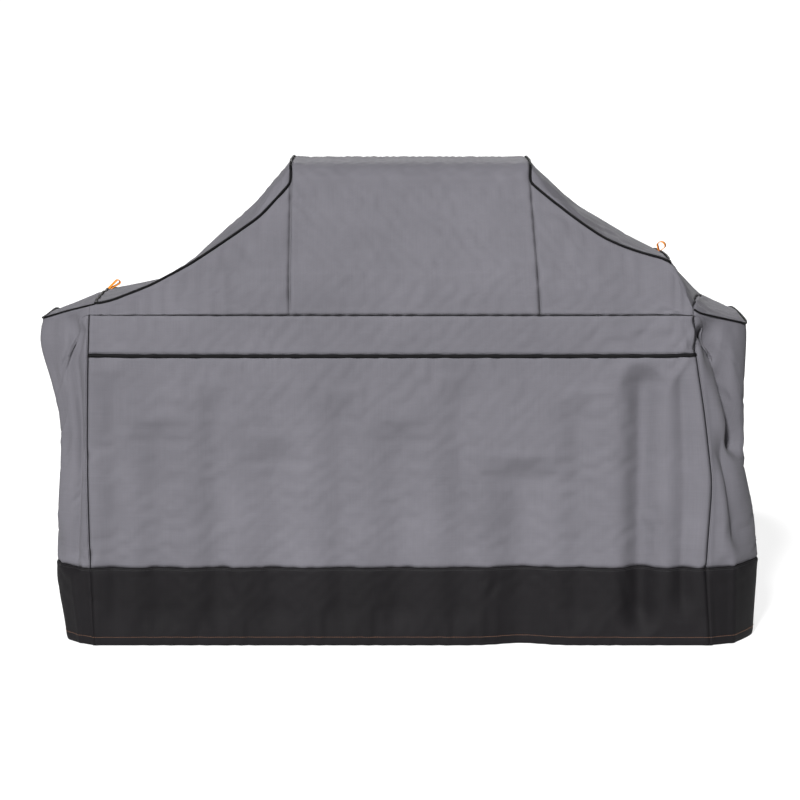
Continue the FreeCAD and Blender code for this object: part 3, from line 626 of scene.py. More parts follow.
def grid_normals(wall):
    along = np.roll(wall, -1, 1) - np.roll(wall, 1, 1)
    up = np.gradient(wall, axis=0)
    normal = np.cross(along, up)
    return normal / np.maximum(np.linalg.norm(normal, axis=2, keepdims=True), 1e-9)


def finer(points, axis, closed):
    """Twice as many points along axis, the new ones on a smooth curve through the old."""
    points = np.moveaxis(points, axis, 0)
    if closed:
        before, after, far = np.roll(points, 1, 0), np.roll(points, -1, 0), np.roll(points, -2, 0)
        middle = (-before + 9 * points + 9 * after - far) / 16
    else:
        padded = np.concatenate([2 * points[:1] - points[1:2], points, 2 * points[-1:] - points[-2:-1]])
        middle = (-padded[:-3] + 9 * padded[1:-2] + 9 * padded[2:-1] - padded[3:]) / 16
    out = np.empty((len(points) + len(middle), *points.shape[1:]))
    out[0::2], out[1::2] = points, middle
    return np.moveaxis(out, 0, axis)


class Cloth:
    """The wall and top patch as one numbered mesh at a chosen fineness."""

    def __init__(self, wall, top, times):
        self.wall, self.top, self.times = wall, top, times
        self.rows, self.columns = wall.shape[0] - 1, wall.shape[1]
        self.nx, self.ny = top.shape[0] - 1, top.shape[1] - 1
        self.number_points()

    def number_points(self):
        self.index = np.zeros((self.nx + 1, self.ny + 1), int)
        last = self.rows * self.columns
        inner = (self.rows + 1) * self.columns
        points = [self.wall.reshape(-1, 3)]
        for i in range(self.nx + 1):
            for j in range(self.ny + 1):
                if 0 < i < self.nx and 0 < j < self.ny:
                    self.index[i, j] = inner
                    inner += 1
                else:
                    self.index[i, j] = last + rim_column(i, j, self.nx, self.ny)
        points.append(self.top[1:-1, 1:-1].reshape(-1, 3))
        self.points = np.concatenate(points)

    def take(self, points):
        """Puts moved points back into the wall and the top."""
        self.points = points
        count = (self.rows + 1) * self.columns
        self.wall = points[:count].reshape(self.rows + 1, self.columns, 3)
        self.top = points[self.index]

    def quads(self):
        """(four corners, panel name) of every quad."""
        out = []
        n = self.columns
        for r in range(self.rows):
            for k in range(n):
                after = (k + 1) % n
                corners = (r * n + k, r * n + after, (r + 1) * n + after, (r + 1) * n + k)
                out.append((corners, self.wall_panel(r, k)))
        for i in range(self.nx):
            for j in range(self.ny):
                places = ((i, j), (i + 1, j), (i + 1, j + 1), (i, j + 1))
                out.append((tuple(self.index[place] for place in places), self.top_panel(i, j)))
        return out

    def wall_panel(self, r, k):
        m = self.times
        nx, ny = self.nx, self.ny
        lower = r < R_LOWER * m
        if nx <= k < nx + ny:
            return "right_lower_band" if lower else "right_side_panel"
        if k >= 2 * nx + ny:
            return "left_lower_band" if lower else "left_side_panel"
        face = "front" if k < nx else "back"
        i = k if k < nx else 2 * nx + ny - k - 1
        if i < I_SEAM_L * m:
            return "left_lower_band" if lower else "left_side_panel"
        if i >= I_SEAM_R * m:
            return "right_lower_band" if lower else "right_side_panel"
        if lower:
            return face + "_lower_band"
        if r < R_SKIRT * m:
            return face + "_skirt_panel"
        if r < R_BAND * m:
            return face + "_band_panel"
        if i < I_HOOD_L * m:
            return "left_%s_shoulder_panel" % face
        if i < I_HOOD_R * m:
            return "hood_centre_panel"
        return "right_%s_shoulder_panel" % face

    def top_panel(self, i, j):
        m = self.times
        if i < I_CROSS_L * m:
            return "left_shelf_gusset"
        if i < I_HOOD_L * m:
            return "left_top_gusset"
        if i < I_HOOD_R * m:
            return "hood_centre_panel"
        if i < I_CROSS_R * m:
            return "right_top_gusset"
        if i < I_SEAM_R * m:
            return "right_front_shoulder_panel" if j < self.ny // 2 else "right_back_shoulder_panel"
        return "right_shelf_gusset"

    def refined(self):
        wall = finer(finer(self.wall, 0, False), 1, True)
        top = finer(finer(self.top, 0, False), 1, False)
        return Cloth(wall, sew_rim(wall, top), self.times * 2)


def new_mesh(name, points, faces):
    mesh = bpy.data.meshes.new(name)
    mesh.from_pydata([tuple(p) for p in points], [], faces)
    mesh.update()
    return mesh


# ---- draping --------------------------------------------------------------------------------
def hold_weights(cloth):
    """How firmly each point keeps its place: 1 on the sewn edges of the top, little on the skirt."""
    wall = np.zeros((cloth.rows + 1, cloth.columns))
    for k in range(cloth.columns):
        kind, index = wall_keys(k)
        middle = kind in ("front", "back") and I_SEAM_L <= index <= I_SEAM_R
        for r in range(cloth.rows + 1):
            z = cloth.wall[r, k, 2]
            below = cloth.wall[-1, k, 2] - z
            if below < 0.012:
                weight = 1.0
            elif middle and r > R_BAND:
                weight = 0.55
            elif middle and r >= R_SKIRT:
                weight = 0.8 if r == R_SKIRT else 0.5
            else:
                weight = 0.50 + 0.20 * math.exp(-below / 0.05)
            wall[r, k] = weight
            near_lock = -0.04 < cloth.wall[r, k, 1] < 0.15
            if kind == "right" and near_lock and z < 0.05:
                wall[r, k] = 1.0
    top = np.full(len(cloth.points) - wall.size, 0.5)
    return np.concatenate([wall.ravel(), top])


def form_points(cloth):
    """The form under the cover: close under the top, and well inside the hanging skirt."""
    points = cloth.points.copy()
    z = points[:, 2]
    skirt = smooth_step((0.80 - z) / 0.25)
    inwards = 0.010 + 0.075 * skirt
    points[:, 0] -= np.sign(points[:, 0]) * np.minimum(inwards, np.abs(points[:, 0]))
    points[:, 1] -= np.sign(points[:, 1]) * np.minimum(inwards, np.abs(points[:, 1]))
    points[:, 2] -= 0.010 * smooth_step((z - 0.70) / 0.1)
    return points


def drape(cloth, frames=26):
    quads = [q for q, _ in cloth.quads()]
    body = link(bpy.data.objects.new("drape", new_mesh("drape", cloth.points, quads)))
    form = link(bpy.data.objects.new("form", new_mesh("form", form_points(cloth), quads)))
    form.modifiers.new("Collision", "COLLISION")
    form.collision.thickness_outer = 0.004
    form.collision.cloth_friction = 15.0
    group = body.vertex_groups.new(name="hold")
    for index, weight in enumerate(hold_weights(cloth)):
        group.add([index], float(weight), "REPLACE")
    modifier = body.modifiers.new("Cloth", "CLOTH")
    settings = modifier.settings
    settings.quality = 6
    settings.mass = 0.4
    settings.tension_stiffness = 30.0
    settings.compression_stiffness = 30.0
    settings.shear_stiffness = 12.0
    settings.bending_stiffness = 4.0
    settings.air_damping = 2.0
    settings.vertex_group_mass = "hold"
    settings.pin_stiffness = 1.0
    settings.shrink_min = -0.012
    modifier.collision_settings.distance_min = 0.004
    modifier.collision_settings.collision_quality = 2
    modifier.point_cache.frame_end = frames
    scene = bpy.context.scene
    for f in range(1, frames + 1):
        scene.frame_set(f)
    graph = bpy.context.evaluated_depsgraph_get()
    moved = body.evaluated_get(graph).to_mesh()
    points = np.zeros(len(moved.vertices) * 3)
    moved.vertices.foreach_get("co", points)
    points = points.reshape(-1, 3)
    scene.frame_set(1)
    bpy.data.objects.remove(body)
    bpy.data.objects.remove(form)
    return points


def column_at(x):
    """The front (or back) grid column over a place along the body."""
    return float(np.interp(x, [SEAM_LEFT_X, SEAM_RIGHT_LOW_X], [I_SEAM_L, I_SEAM_R]))


FOLDS = [                     # side, place, width, depth, from, to, slant (in columns per metre)
    ("front", I_SEAM_L - 5.0, 1.5, 0.022, 0.16, 0.86, 3.0),
    ("front", I_SEAM_L - 8.5, 1.4, -0.008, 0.25, 0.84, -3.0),
    ("front", I_SEAM_R + 8.5, 1.7, 0.062, 0.46, 0.85, -17.0),
    ("front", I_SEAM_R + 5.5, 1.6, -0.012, 0.50, 0.84, -13.0),
    ("front", I_SEAM_R + 6.5, 1.8, 0.018, 0.22, 0.56, -9.0),
    ("front", I_SEAM_R + 4.0, 1.2, -0.008, 0.20, 0.50, -6.0),
    ("back", I_SEAM_L - 4.5, 1.8, 0.020, 0.20, 0.84, 4.0),
    ("back", I_SEAM_R + 5.0, 1.8, 0.022, 0.24, 0.82, -8.0),
    ("left", 4.0, 1.6, 0.016, 0.15, 0.76, 2.0),
    ("left", 11.5, 2.2, 0.018, 0.12, 0.70, -3.0),
    ("left", 18.0, 1.8, 0.014, 0.20, 0.76, 1.0),
    ("right", 6.0, 1.8, 0.014, 0.24, 0.74, 3.0),
    ("right", 13.5, 2.0, 0.018, 0.16, 0.68, -2.0),
    ("right", 19.5, 1.6, 0.014, 0.22, 0.76, -2.0),
]
RIPPLES = [                   # soft hanging folds of the skirt: place, width, depth, foot, head
    (-0.715, 0.030, 0.005, 0.02, 0.72), (-0.600, 0.050, 0.007, 0.02, 0.60),
    (-0.455, 0.040, 0.006, 0.02, 0.68), (-0.300, 0.060, 0.008, 0.02, 0.55),
    (-0.130, 0.045, 0.006, 0.02, 0.66), (0.020, 0.055, 0.008, 0.02, 0.60),
    (0.175, 0.045, 0.006, 0.02, 0.70), (0.335, 0.075, 0.016, -0.20, 0.50),
    (0.480, 0.045, 0.007, 0.02, 0.66), (0.640, 0.035, 0.022, 0.02, 0.74),
    (0.745, 0.020, 0.010, 0.06, 0.72),
]


def push_folds(wall):
    for side, at, width, depth, low, high, slant in FOLDS:
        fold(wall, side, at, width, depth, low, high, slant)
    columns_per_m = (I_SEAM_R - I_SEAM_L) / (SEAM_RIGHT_LOW_X - SEAM_LEFT_X)
    for x, width, depth, low, high in RIPPLES:
        fold(wall, "front", column_at(x), width * columns_per_m, 1.6 * depth, low, high)
        fold(wall, "back", column_at(-0.9 * x), width * columns_per_m, 1.3 * depth, low, high)


wall = build_wall()
round_corners(wall)
push_folds(wall)
cloth = Cloth(wall, build_top(wall), 1)
cloth.take(drape(cloth))
fine = cloth.refined()


PUCKERS = [                   # seam row, reach in fine rows, depth
    (R_SKIRT, 5.0, 0.0011), (R_BAND, 5.0, 0.0009), (R_LOWER, 4.0, 0.0012),
]
GATHER_WAVES = (58, 23, 131)  # round the cover


def pucker(cloth):
    """Small gathers where the sewing draws the cloth in, strongest at the seam."""
    points = cloth.points.copy()
    normals = grid_normals(cloth.wall)
    length = cloth.columns
    turn = 2 * math.pi / length
    for seam, reach, depth in PUCKERS:
        for r in range(cloth.rows):
            share = math.exp(-abs(r - seam * FINER) / reach) * depth
            if share < 0.00008:
                continue
            k = np.arange(length) + 0.35 * (r - seam * FINER)
            short, long, small = (turn * waves * k for waves in GATHER_WAVES)
            gathers = np.sin(short) * np.sin(long + 1.1) + 0.6 * np.sin(small + r * 0.4)
            points[r * length:(r + 1) * length] += normals[r, :] * (share * gathers)[:, None]
    cloth.take(points)


CREASES = [                   # on the front: x and z of both ends, width, depth
    ((0.659, 0.855), (0.568, 0.757), 0.009, 0.0040),
    ((0.692, 0.848), (0.674, 0.765), 0.007, 0.0030),
    ((0.708, 0.845), (0.728, 0.795), 0.006, 0.0025),
    ((0.504, 0.835), (0.478, 0.770), 0.007, 0.0025),
    ((0.420, 0.842), (0.428, 0.785), 0.007, 0.0018),
    ((0.362, 1.130), (0.490, 1.040), 0.020, 0.0050),
    ((0.697, 0.995), (0.726, 0.880), 0.012, 0.0060),
    ((-0.753, 0.868), (-0.715, 0.815), 0.007, 0.0025),
    ((-0.690, 0.905), (-0.712, 0.880), 0.006, 0.0025),
    ((-0.754, 0.742), (-0.735, 0.700), 0.007, 0.0025),
    ((-0.640, 0.842), (-0.560, 0.790), 0.010, 0.0022),
    ((-0.450, 0.742), (-0.430, 0.690), 0.008, 0.0020),
    ((-0.560, 0.950), (-0.470, 0.900), 0.014, 0.0030),
    ((-0.350, 1.080), (-0.400, 0.960), 0.018, 0.0035),
    ((0.120, 0.742), (0.150, 0.690), 0.008, 0.0018),
    ((-0.442, 0.195), (-0.416, 0.100), 0.009, 0.0050),
    ((-0.798, 0.135), (-0.765, 0.105), 0.006, 0.0035),
    ((0.250, 0.195), (0.225, 0.110), 0.009, 0.0040),
    ((0.560, 0.190), (0.590, 0.090), 0.009, 0.0040),
    ((-0.850, 0.700), (-0.820, 0.640), 0.010, 0.0040),
    ((-0.835, 0.560), (-0.855, 0.480), 0.010, 0.0040),
    ((0.850, 0.330), (0.830, 0.260), 0.010, 0.0040),
]
SEAM_IN = 0.0014              # a seam's own line draws in
RIDGE_OUT = 0.0010            # and the ridge beside it stands out
UPRIGHT_SEAMS = [             # column, foot row, head row, the side its ridge is on
    (I_SEAM_L, 0, R_BAND, -1), (I_SEAM_R, 0, R_BAND, 1),
    (I_HOOD_L, R_BAND, NR, 1), (I_HOOD_R, R_BAND, NR, -1),
]


def crease(cloth, start, end, width, depth):
    """A sharper crease pressed into the front between two places."""
    points = cloth.points
    count = cloth.wall.shape[0] * cloth.columns
    normals = grid_normals(cloth.wall).reshape(-1, 3)
    flat = points[:count][:, [0, 2]]
    a, b = np.array(start), np.array(end)
    share = np.clip((flat - a) @ (b - a) / ((b - a) @ (b - a)), 0.0, 1.0)
    gap = np.linalg.norm(flat - (a + share[:, None] * (b - a)), axis=1)
    push = depth * np.exp(-((gap / width) ** 2)) * (0.35 + 0.65 * np.sin(math.pi * share))
    push[normals[:, 1] > -0.3] = 0.0
    moved = points.copy()
    moved[:count] -= normals * push[:, None]
    cloth.take(moved)


def raise_seams(cloth):
    """Each seam line draws in, with a felled ridge along its side."""
    normals = grid_normals(cloth.wall)
    wall = cloth.wall.copy()

    def draw_in(line, ridge):
        wall[line] -= normals[line] * SEAM_IN
        wall[ridge] += normals[ridge] * RIDGE_OUT

    for i, foot, head, towards in UPRIGHT_SEAMS:
        rows = slice(foot * FINER, head * FINER)
        for column, step in ((i * FINER, towards), (2 * cloth.nx + cloth.ny - i * FINER, -towards)):
            draw_in((rows, column), (rows, column + step))
    for row, towards in ((R_LOWER, -1), (R_BAND, 1), (R_SKIRT, 1)):
        columns = slice(0, cloth.columns) if row == R_LOWER else slice(I_SEAM_L * FINER, I_SEAM_R * FINER + 1)
        draw_in((row * FINER, columns), (row * FINER + towards, columns))
    points = cloth.points.copy()
    points[:cloth.rows * cloth.columns] = wall[:-1].reshape(-1, 3)
    cloth.take(points)


pucker(fine)
for place in CREASES:
    crease(fine, *place)
raise_seams(fine)
fine.points[:, 2] = np.maximum(fine.points[:, 2], HEM_LIFT)
fine.take(fine.points)


# ---- panels ---------------------------------------------------------------------------------
def point_normals(cloth):
    quads = np.array([q for q, _ in cloth.quads()])
    p = cloth.points
    face = np.cross(p[quads[:, 2]] - p[quads[:, 0]], p[quads[:, 3]] - p[quads[:, 1]])
    normals = np.zeros_like(p)
    for corner in range(4):
        np.add.at(normals, quads[:, corner], face)
    return normals / np.maximum(np.linalg.norm(normals, axis=1, keepdims=True), 1e-12)


NORMALS = point_normals(fine)
PANELS = {}
for corners, panel in fine.quads():
    PANELS.setdefault(panel, []).append(corners)

RIM_IN = 0.0010               # each panel's sewn edge is drawn in by this


def flat_coordinates(cloth):
    """Metres along and up the cloth for each point of the wall, for the weave."""
    along = np.zeros((cloth.rows + 1, cloth.columns))
    row = cloth.wall[cloth.rows // 4]
    gaps = np.linalg.norm(np.roll(row, -1, 0) - row, axis=1)
    along[:] = np.concatenate([[0.0], np.cumsum(gaps)[:-1]])
    up = np.linalg.norm(np.diff(cloth.wall, axis=0), axis=2)
    up = np.concatenate([np.zeros((1, cloth.columns)), np.cumsum(up, 0)])
    return np.stack([along, up], 2).reshape(-1, 2)


WALL_UV = flat_coordinates(fine)
WALL_POINTS = (fine.rows + 1) * fine.columns


def mesh_object(name, points, faces, uv, material, outwards=False):
    """A smooth object with the UV layer that the materials read, and, if asked, its faces outwards."""
    mesh = new_mesh(name, points, faces)
    if outwards:
        bm = bmesh.new()
        bm.from_mesh(mesh)
        bmesh.ops.recalc_face_normals(bm, faces=bm.faces)
        bm.to_mesh(mesh)
        bm.free()
    layer = mesh.uv_layers.new(name="cloth")
    loops = np.zeros(len(mesh.loops), int)
    mesh.loops.foreach_get("vertex_index", loops)
    layer.data.foreach_set("uv", np.asarray(uv)[loops].ravel())
    mesh.polygons.foreach_set("use_smooth", [True] * len(mesh.polygons))
    mesh.materials.append(material)
    return link(bpy.data.objects.new(name, mesh))


def solid_sheet(name, points, faces, uv, material, thickness=CLOTH_T):
    made = mesh_object(name, points, faces, uv, material)
    modifier = made.modifiers.new("thickness", "SOLIDIFY")
    modifier.thickness = thickness
    modifier.offset = -1.0
    return made


def panel_object(name, quads):
    used = sorted({index for quad in quads for index in quad})
    local = {index: n for n, index in enumerate(used)}
    edges = {}
    for quad in quads:
        for a, b in zip(quad, quad[1:] + quad[:1]):
            key = (min(a, b), max(a, b))
            edges[key] = edges.get(key, 0) + 1
    rim = {v for key, count in edges.items() if count == 1 for v in key}
    points = fine.points[used].copy()
    for index in rim:
        points[local[index]] -= NORMALS[index] * RIM_IN
    faces = [tuple(local[v] for v in quad) for quad in quads]
    if "lower_band" in name:
        return band_object(name, used, local, points, faces)
    on_wall = np.array([index < WALL_POINTS for index in used])
    uv = fine.points[used][:, :2].copy()
    if on_wall.mean() > 0.5:
        safe = [min(index, WALL_POINTS - 1) for index in used]
        uv = WALL_UV[safe]
    return solid_sheet(name + "_cloth", points, faces, uv, GREY)


HEM_UV_STEP = 0.005
# how the hem turns under, as (in, up) from the band's foot
HEM_TURN = [(0.0022, -0.0026), (0.0052, -0.0030), (0.0078, -0.0008), (0.0086, 0.0050), (0.0088, 0.0220)]


def band_object(name, used, local, points, faces):
    """A lower band: its cloth turns under at the hem and runs up inside as far as the casing."""
    along = [index for index in used if index < fine.columns]
    if along[0] == 0 and along[-1] == fine.columns - 1:
        cut = next(n for n, (a, b) in enumerate(zip(along, along[1:])) if b - a > 1)
        along = along[cut + 1:] + along[:cut + 1]
    points = [tuple(p) for p in points]
    uv = [tuple(WALL_UV[index]) for index in used]
    outer = [local[index] for index in along]
    for step, (inwards, up) in enumerate(HEM_TURN, 1):
        inner = []
        for index in along:
            flat = np.array([NORMALS[index][0], NORMALS[index][1], 0.0])
            place = fine.points[index] - flat / np.linalg.norm(flat) * inwards
            inner.append(len(points))
            points.append((place[0], place[1], place[2] + up))
            uv.append((WALL_UV[index][0], -HEM_UV_STEP * step))
        for n in range(len(along) - 1):
            faces.append((inner[n], inner[n + 1], outer[n + 1], outer[n]))
        outer = inner
    return solid_sheet(name + "_cloth", points, faces, uv, BLACK)


for name, quads in sorted(PANELS.items()):
    piece = panel_object(name, quads)
    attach(piece, "cover")
    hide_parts(name)


# ---- trims along the seams ------------------------------------------------------------------
def wall_at(face, row, i):
    """Number of the wall point at a row and front (or back) column of the fine cloth."""
    k = i if face == "front" else 2 * fine.nx + fine.ny - i
    return row * fine.columns + k % fine.columns


def tube(name, points, radii, material, sides=10):
    """A round bead along the points. Its UV holds the angle round it and the length along it."""
    points = np.asarray(points)
    ahead = np.roll(points, -1, 0) - np.roll(points, 1, 0)
    ahead[0] = points[1] - points[0]
    ahead[-1] = points[-1] - points[-2]
    ahead = ahead / np.maximum(np.linalg.norm(ahead, axis=1, keepdims=True), 1e-9)
    side = np.cross(ahead, [0.0, 0.0, 1.0])
    weak = np.linalg.norm(side, axis=1) < 0.2
    side[weak] = np.cross(ahead[weak], [1.0, 0.0, 0.0])
    side /= np.linalg.norm(side, axis=1, keepdims=True)
    for n in range(1, len(side)):
        if side[n] @ side[n - 1] < 0:
            side[n] = -side[n]
    other = np.cross(side, ahead)
    lengths = np.concatenate([[0.0], np.cumsum(np.linalg.norm(np.diff(points, axis=0), axis=1))])
    radii = np.broadcast_to(radii, len(points))
    verts, uv, faces = [], [], []
    for p, a, b, radius, length in zip(points, side, other, radii, lengths):
        for turn in range(sides):
            angle = 2 * math.pi * turn / sides
            verts.append(p + radius * (a * math.cos(angle) + b * math.sin(angle)))
            uv.append((angle, length))
    last = (len(points) - 1) * sides
    for low in range(0, last, sides):
        high = low + sides
        for turn in range(sides):
            after = (turn + 1) % sides
            faces.append((low + turn, low + after, high + after, high + turn))
    faces.append(tuple(range(sides))[::-1])
    faces.append(tuple(last + turn for turn in range(sides)))
    return mesh_object(name, verts, faces, uv, material, outwards=True)


def without_repeats(indices):
    return [n for n, before in zip(indices, [None] + indices[:-1]) if n != before]


def bead_on(name, indices, radius, lift, swell=0.0, material=PIPING):
    """Piping along cloth points, lifted out of the seam by a share of its radius."""
    indices = without_repeats(indices)
    points = fine.points[indices] + NORMALS[indices] * radius * lift
    for _ in range(2):
        points[1:-1] = (points[:-2] + 2 * points[1:-1] + points[2:]) / 4
    wave = np.sin(np.arange(len(indices)) * 0.9) * np.sin(np.arange(len(indices)) * 0.23 + 1.0)
    return tube(name, points, radius * (1 + swell * wave), material)


def gusset_ring(i_cross, i_hood):
    """Round a top gusset, open at the middle of its cross seam, where the pull loop is sewn."""
    step = 1 if i_hood > i_cross else -1
    middle = fine.ny // 2
    ring = [fine.index[i_cross, j] for j in range(middle - 1, -1, -1)]
    ring += [fine.index[i, 0] for i in range(i_cross, i_hood + step, step)]
    ring += [fine.index[i_hood, j] for j in range(fine.ny + 1)]
    ring += [fine.index[i, fine.ny] for i in range(i_hood, i_cross - step, -step)]
    ring += [fine.index[i_cross, j] for j in range(fine.ny, middle, -1)]
    return ring


def shelf_line(i_start, i_end):
    step = 1 if i_end > i_start else -1
    line = [fine.index[i, 0] for i in range(i_start, i_end + step, step)]
    line += [fine.index[i_end, j] for j in range(fine.ny + 1)]
    line += [fine.index[i, fine.ny] for i in range(i_end, i_start - step, -step)]
    return line


def band_line(face, row):
    return [wall_at(face, row, i) for i in range(I_SEAM_L * FINER, I_SEAM_R * FINER + 1)]


def sew_on(piece, slot, *nodes):
    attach(piece, "cover")
    if nodes:
        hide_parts(*nodes)
    return piece


PIPING_LIFT = 0.5
pipings = {
    "left_gusset": (gusset_ring(I_CROSS_L * FINER, I_HOOD_L * FINER), 0.0033, 0.0),
    "right_gusset": (gusset_ring(I_CROSS_R * FINER, I_HOOD_R * FINER), 0.0033, 0.0),
    "left_shelf": (shelf_line(I_CROSS_L * FINER, 0), 0.0022, 0.0),
    "right_shelf": (shelf_line(I_SEAM_R * FINER, fine.nx), 0.0026, 0.0),
    "front_band": (band_line("front", R_SKIRT * FINER), 0.0042, 0.18),
    "back_band": (band_line("back", R_SKIRT * FINER), 0.0042, 0.18),
}
for name, (line, radius, swell) in pipings.items():
    bead = bead_on(name + "_bead", line, radius, PIPING_LIFT, swell)
    pipings[name] = sew_on(bead, "black_piping", name + "_piping")


# A near-black bead laid along a seam line: painted shadow in the seam
def seam_edge(name, line, radius, lift):
    bead = bead_on(name + "_edge", line, radius, lift, material=PAINTED_SEAM_SHADOW)
    return sew_on(bead, "black_piping")


# the corner seams and the band's top seam get a bead of painted seam shadow
corner_rows = range(R_LOWER * FINER, R_BAND * FINER + 1)
for face in ("front", "back"):
    for side, i in (("left", I_SEAM_L * FINER), ("right", I_SEAM_R * FINER)):
        line = [wall_at(face, row, i) for row in corner_rows]
        seam_edge("%s_%s_seam" % (face, side), line, 0.0014, 0.6)
for face in ("front", "back"):
    seam_edge(face + "_band_top", band_line(face, R_BAND * FINER), 0.0007, 0.5)

TAPE_HALF = 0.011
TAPE_T = 0.0008
TAPE_UNDER = 0.0026           # how far a tape lies under the cloth's outer face
TAPE_ACROSS = [-1.0, -0.5, 0.0, 0.5, 1.0]
NEIGHBOURS = (-2, -1, 0, 1, 2)


def ribbon(name, stations, closed=False):
    """A tape inside a seam. Each station lists five cloth points that cross the seam there."""
    verts, uv = [], []
    length = 0.0
    for n, station in enumerate(stations):
        points = fine.points[station]
        inner = points - NORMALS[station] * TAPE_UNDER
        gaps = np.linalg.norm(np.diff(points, axis=0), axis=1)
        place = np.concatenate([[0.0], np.cumsum(gaps)])
        place -= place[2]
        if n:
            length += float(np.linalg.norm(fine.points[station[2]] - fine.points[stations[n - 1][2]]))
        for share in TAPE_ACROSS:
            at = np.clip(share * TAPE_HALF, place[0], place[-1])
            verts.append([np.interp(at, place, inner[:, axis]) for axis in range(3)])
            uv.append((share * TAPE_HALF, length))
    across = len(TAPE_ACROSS)
    count = len(stations)
    faces = []
    for n in range(count if closed else count - 1):
        m = (n + 1) % count
        for a in range(across - 1):
            faces.append((n * across + a, n * across + a + 1, m * across + a + 1, m * across + a))
    return solid_sheet(name, verts, faces, uv, TAPE, TAPE_T)


def across_column(face, row, i):
    return [wall_at(face, row, i + d) for d in NEIGHBOURS]


def across_row(row, k):
    return [(row + d) * fine.columns + k % fine.columns for d in NEIGHBOURS]


def hood_stations(i):
    rows = range(R_BAND * FINER + 2, fine.rows)
    stations = [across_column("front", row, i) for row in rows]
    stations += [[fine.index[i + d, j] for d in NEIGHBOURS] for j in range(fine.ny + 1)]
    return stations + [across_column("back", row, i) for row in reversed(rows)]


ring_stations = [across_row(R_LOWER * FINER, k) for k in range(fine.columns)]
tapes = {"lower_band_seam_tape": ribbon("lower_band_inner_tape", ring_stations, True)}
upright_rows = range(R_LOWER * FINER + 2, R_BAND * FINER - 1)
for face in ("front", "back"):
    for side, i in (("left", I_SEAM_L * FINER), ("right", I_SEAM_R * FINER)):
        name = "%s_%s" % (face, side)
        stations = [across_column(face, row, i) for row in upright_rows]
        tapes[name + "_seam_tape"] = ribbon(name + "_inner_tape", stations)
    start, end = (wall_at(face, 0, i) for i in (I_SEAM_L * FINER + 2, I_SEAM_R * FINER - 2))
    stations = [across_row(R_SKIRT * FINER, k) for k in range(min(start, end), max(start, end) + 1)]
    tapes[face + "_band_seam_tape"] = ribbon(face + "_band_inner_tape", stations)
for side, i in (("left", I_HOOD_L * FINER), ("right", I_HOOD_R * FINER)):
    tapes[side + "_hood_seam_tape"] = ribbon(side + "_hood_inner_tape", hood_stations(i))
for name, piece in tapes.items():
    sew_on(piece, "seam_tape", name)


# ---- stitching ------------------------------------------------------------------------------
def resampled(points, normals, pitch, closed):
    if closed:
        points = np.concatenate([points, points[:1]])
        normals = np.concatenate([normals, normals[:1]])
    lengths = np.concatenate([[0.0], np.cumsum(np.linalg.norm(np.diff(points, axis=0), axis=1))])
    at = np.arange(pitch / 2, lengths[-1], pitch)
    place = np.stack([np.interp(at, lengths, points[:, a]) for a in range(3)], 1)
    normal = np.stack([np.interp(at, lengths, normals[:, a]) for a in range(3)], 1)
    ahead = np.stack([np.gradient(place[:, a]) for a in range(3)], 1)
    ahead /= np.maximum(np.linalg.norm(ahead, axis=1, keepdims=True), 1e-9)
    return place, normal / np.linalg.norm(normal, axis=1, keepdims=True), ahead


class Stitches:
    """Many short thread stitches, gathered into one mesh."""

    def __init__(self, name, material, radius=0.0005, length=0.0034, pitch=0.0048):
        self.name, self.material = name, material
        self.radius, self.length, self.pitch = radius, length, pitch
        self.verts, self.faces, self.uv = [], [], []

    def row(self, points, normals, closed=False):
        for p, n, t in zip(*resampled(points, normals, self.pitch, closed)):
            self.stitch(p, n, t)

    def stitch(self, p, n, t):
        side = np.cross(n, t)
        start = len(self.verts)
        for share, swell in ((-0.5, 0.35), (-0.28, 1.0), (0.28, 1.0), (0.5, 0.35)):
            centre = p + t * self.length * share + n * self.radius * (0.1 + 0.6 * swell)
            for a, b in ((1, 0), (0, 1), (-1, 0), (0, -1)):
                self.verts.append(centre + (side * a + n * b) * self.radius * swell)
                self.uv.append((math.atan2(b, a), share * self.length))
        for ring in range(3):
            low, high = start + 4 * ring, start + 4 * ring + 4
            for a in range(4):
                after = (a + 1) % 4
                self.faces.append((low + a, low + after, high + after, high + a))
        self.faces.append((start + 3, start + 2, start + 1, start))
        self.faces.append((start + 12, start + 13, start + 14, start + 15))

    def finish(self, slot):
        return sew_on(mesh_object(self.name, self.verts, self.faces, self.uv, self.material), slot)


def beside(indices, neighbours, distance):
    """Points on the cloth at distance from a line of points, towards their neighbours."""
    here, there = fine.points[indices], fine.points[neighbours]
    gap = np.linalg.norm(there - here, axis=1, keepdims=True)
    return here + (there - here) * np.minimum(distance / np.maximum(gap, 1e-6), 1.0)


def wall_row(row):
    return [row * fine.columns + k for k in range(fine.columns)]


hem_thread = Stitches("hem_stitching", ORANGE_THREAD, 0.0006, 0.0042, 0.0058)
hem_thread.row(fine.points[wall_row(R_HEM * FINER)], NORMALS[wall_row(R_HEM * FINER)], True)
hem_stitching = hem_thread.finish("orange_webbing")

lower_thread = Stitches("lower_band_stitching", BLACK_THREAD)
seam_row = wall_row(R_LOWER * FINER)
for distance in (0.0035, 0.0075):
    lower_thread.row(beside(seam_row, wall_row(R_LOWER * FINER - 1), distance), NORMALS[seam_row], True)
lower_stitching = lower_thread.finish("black_cloth")

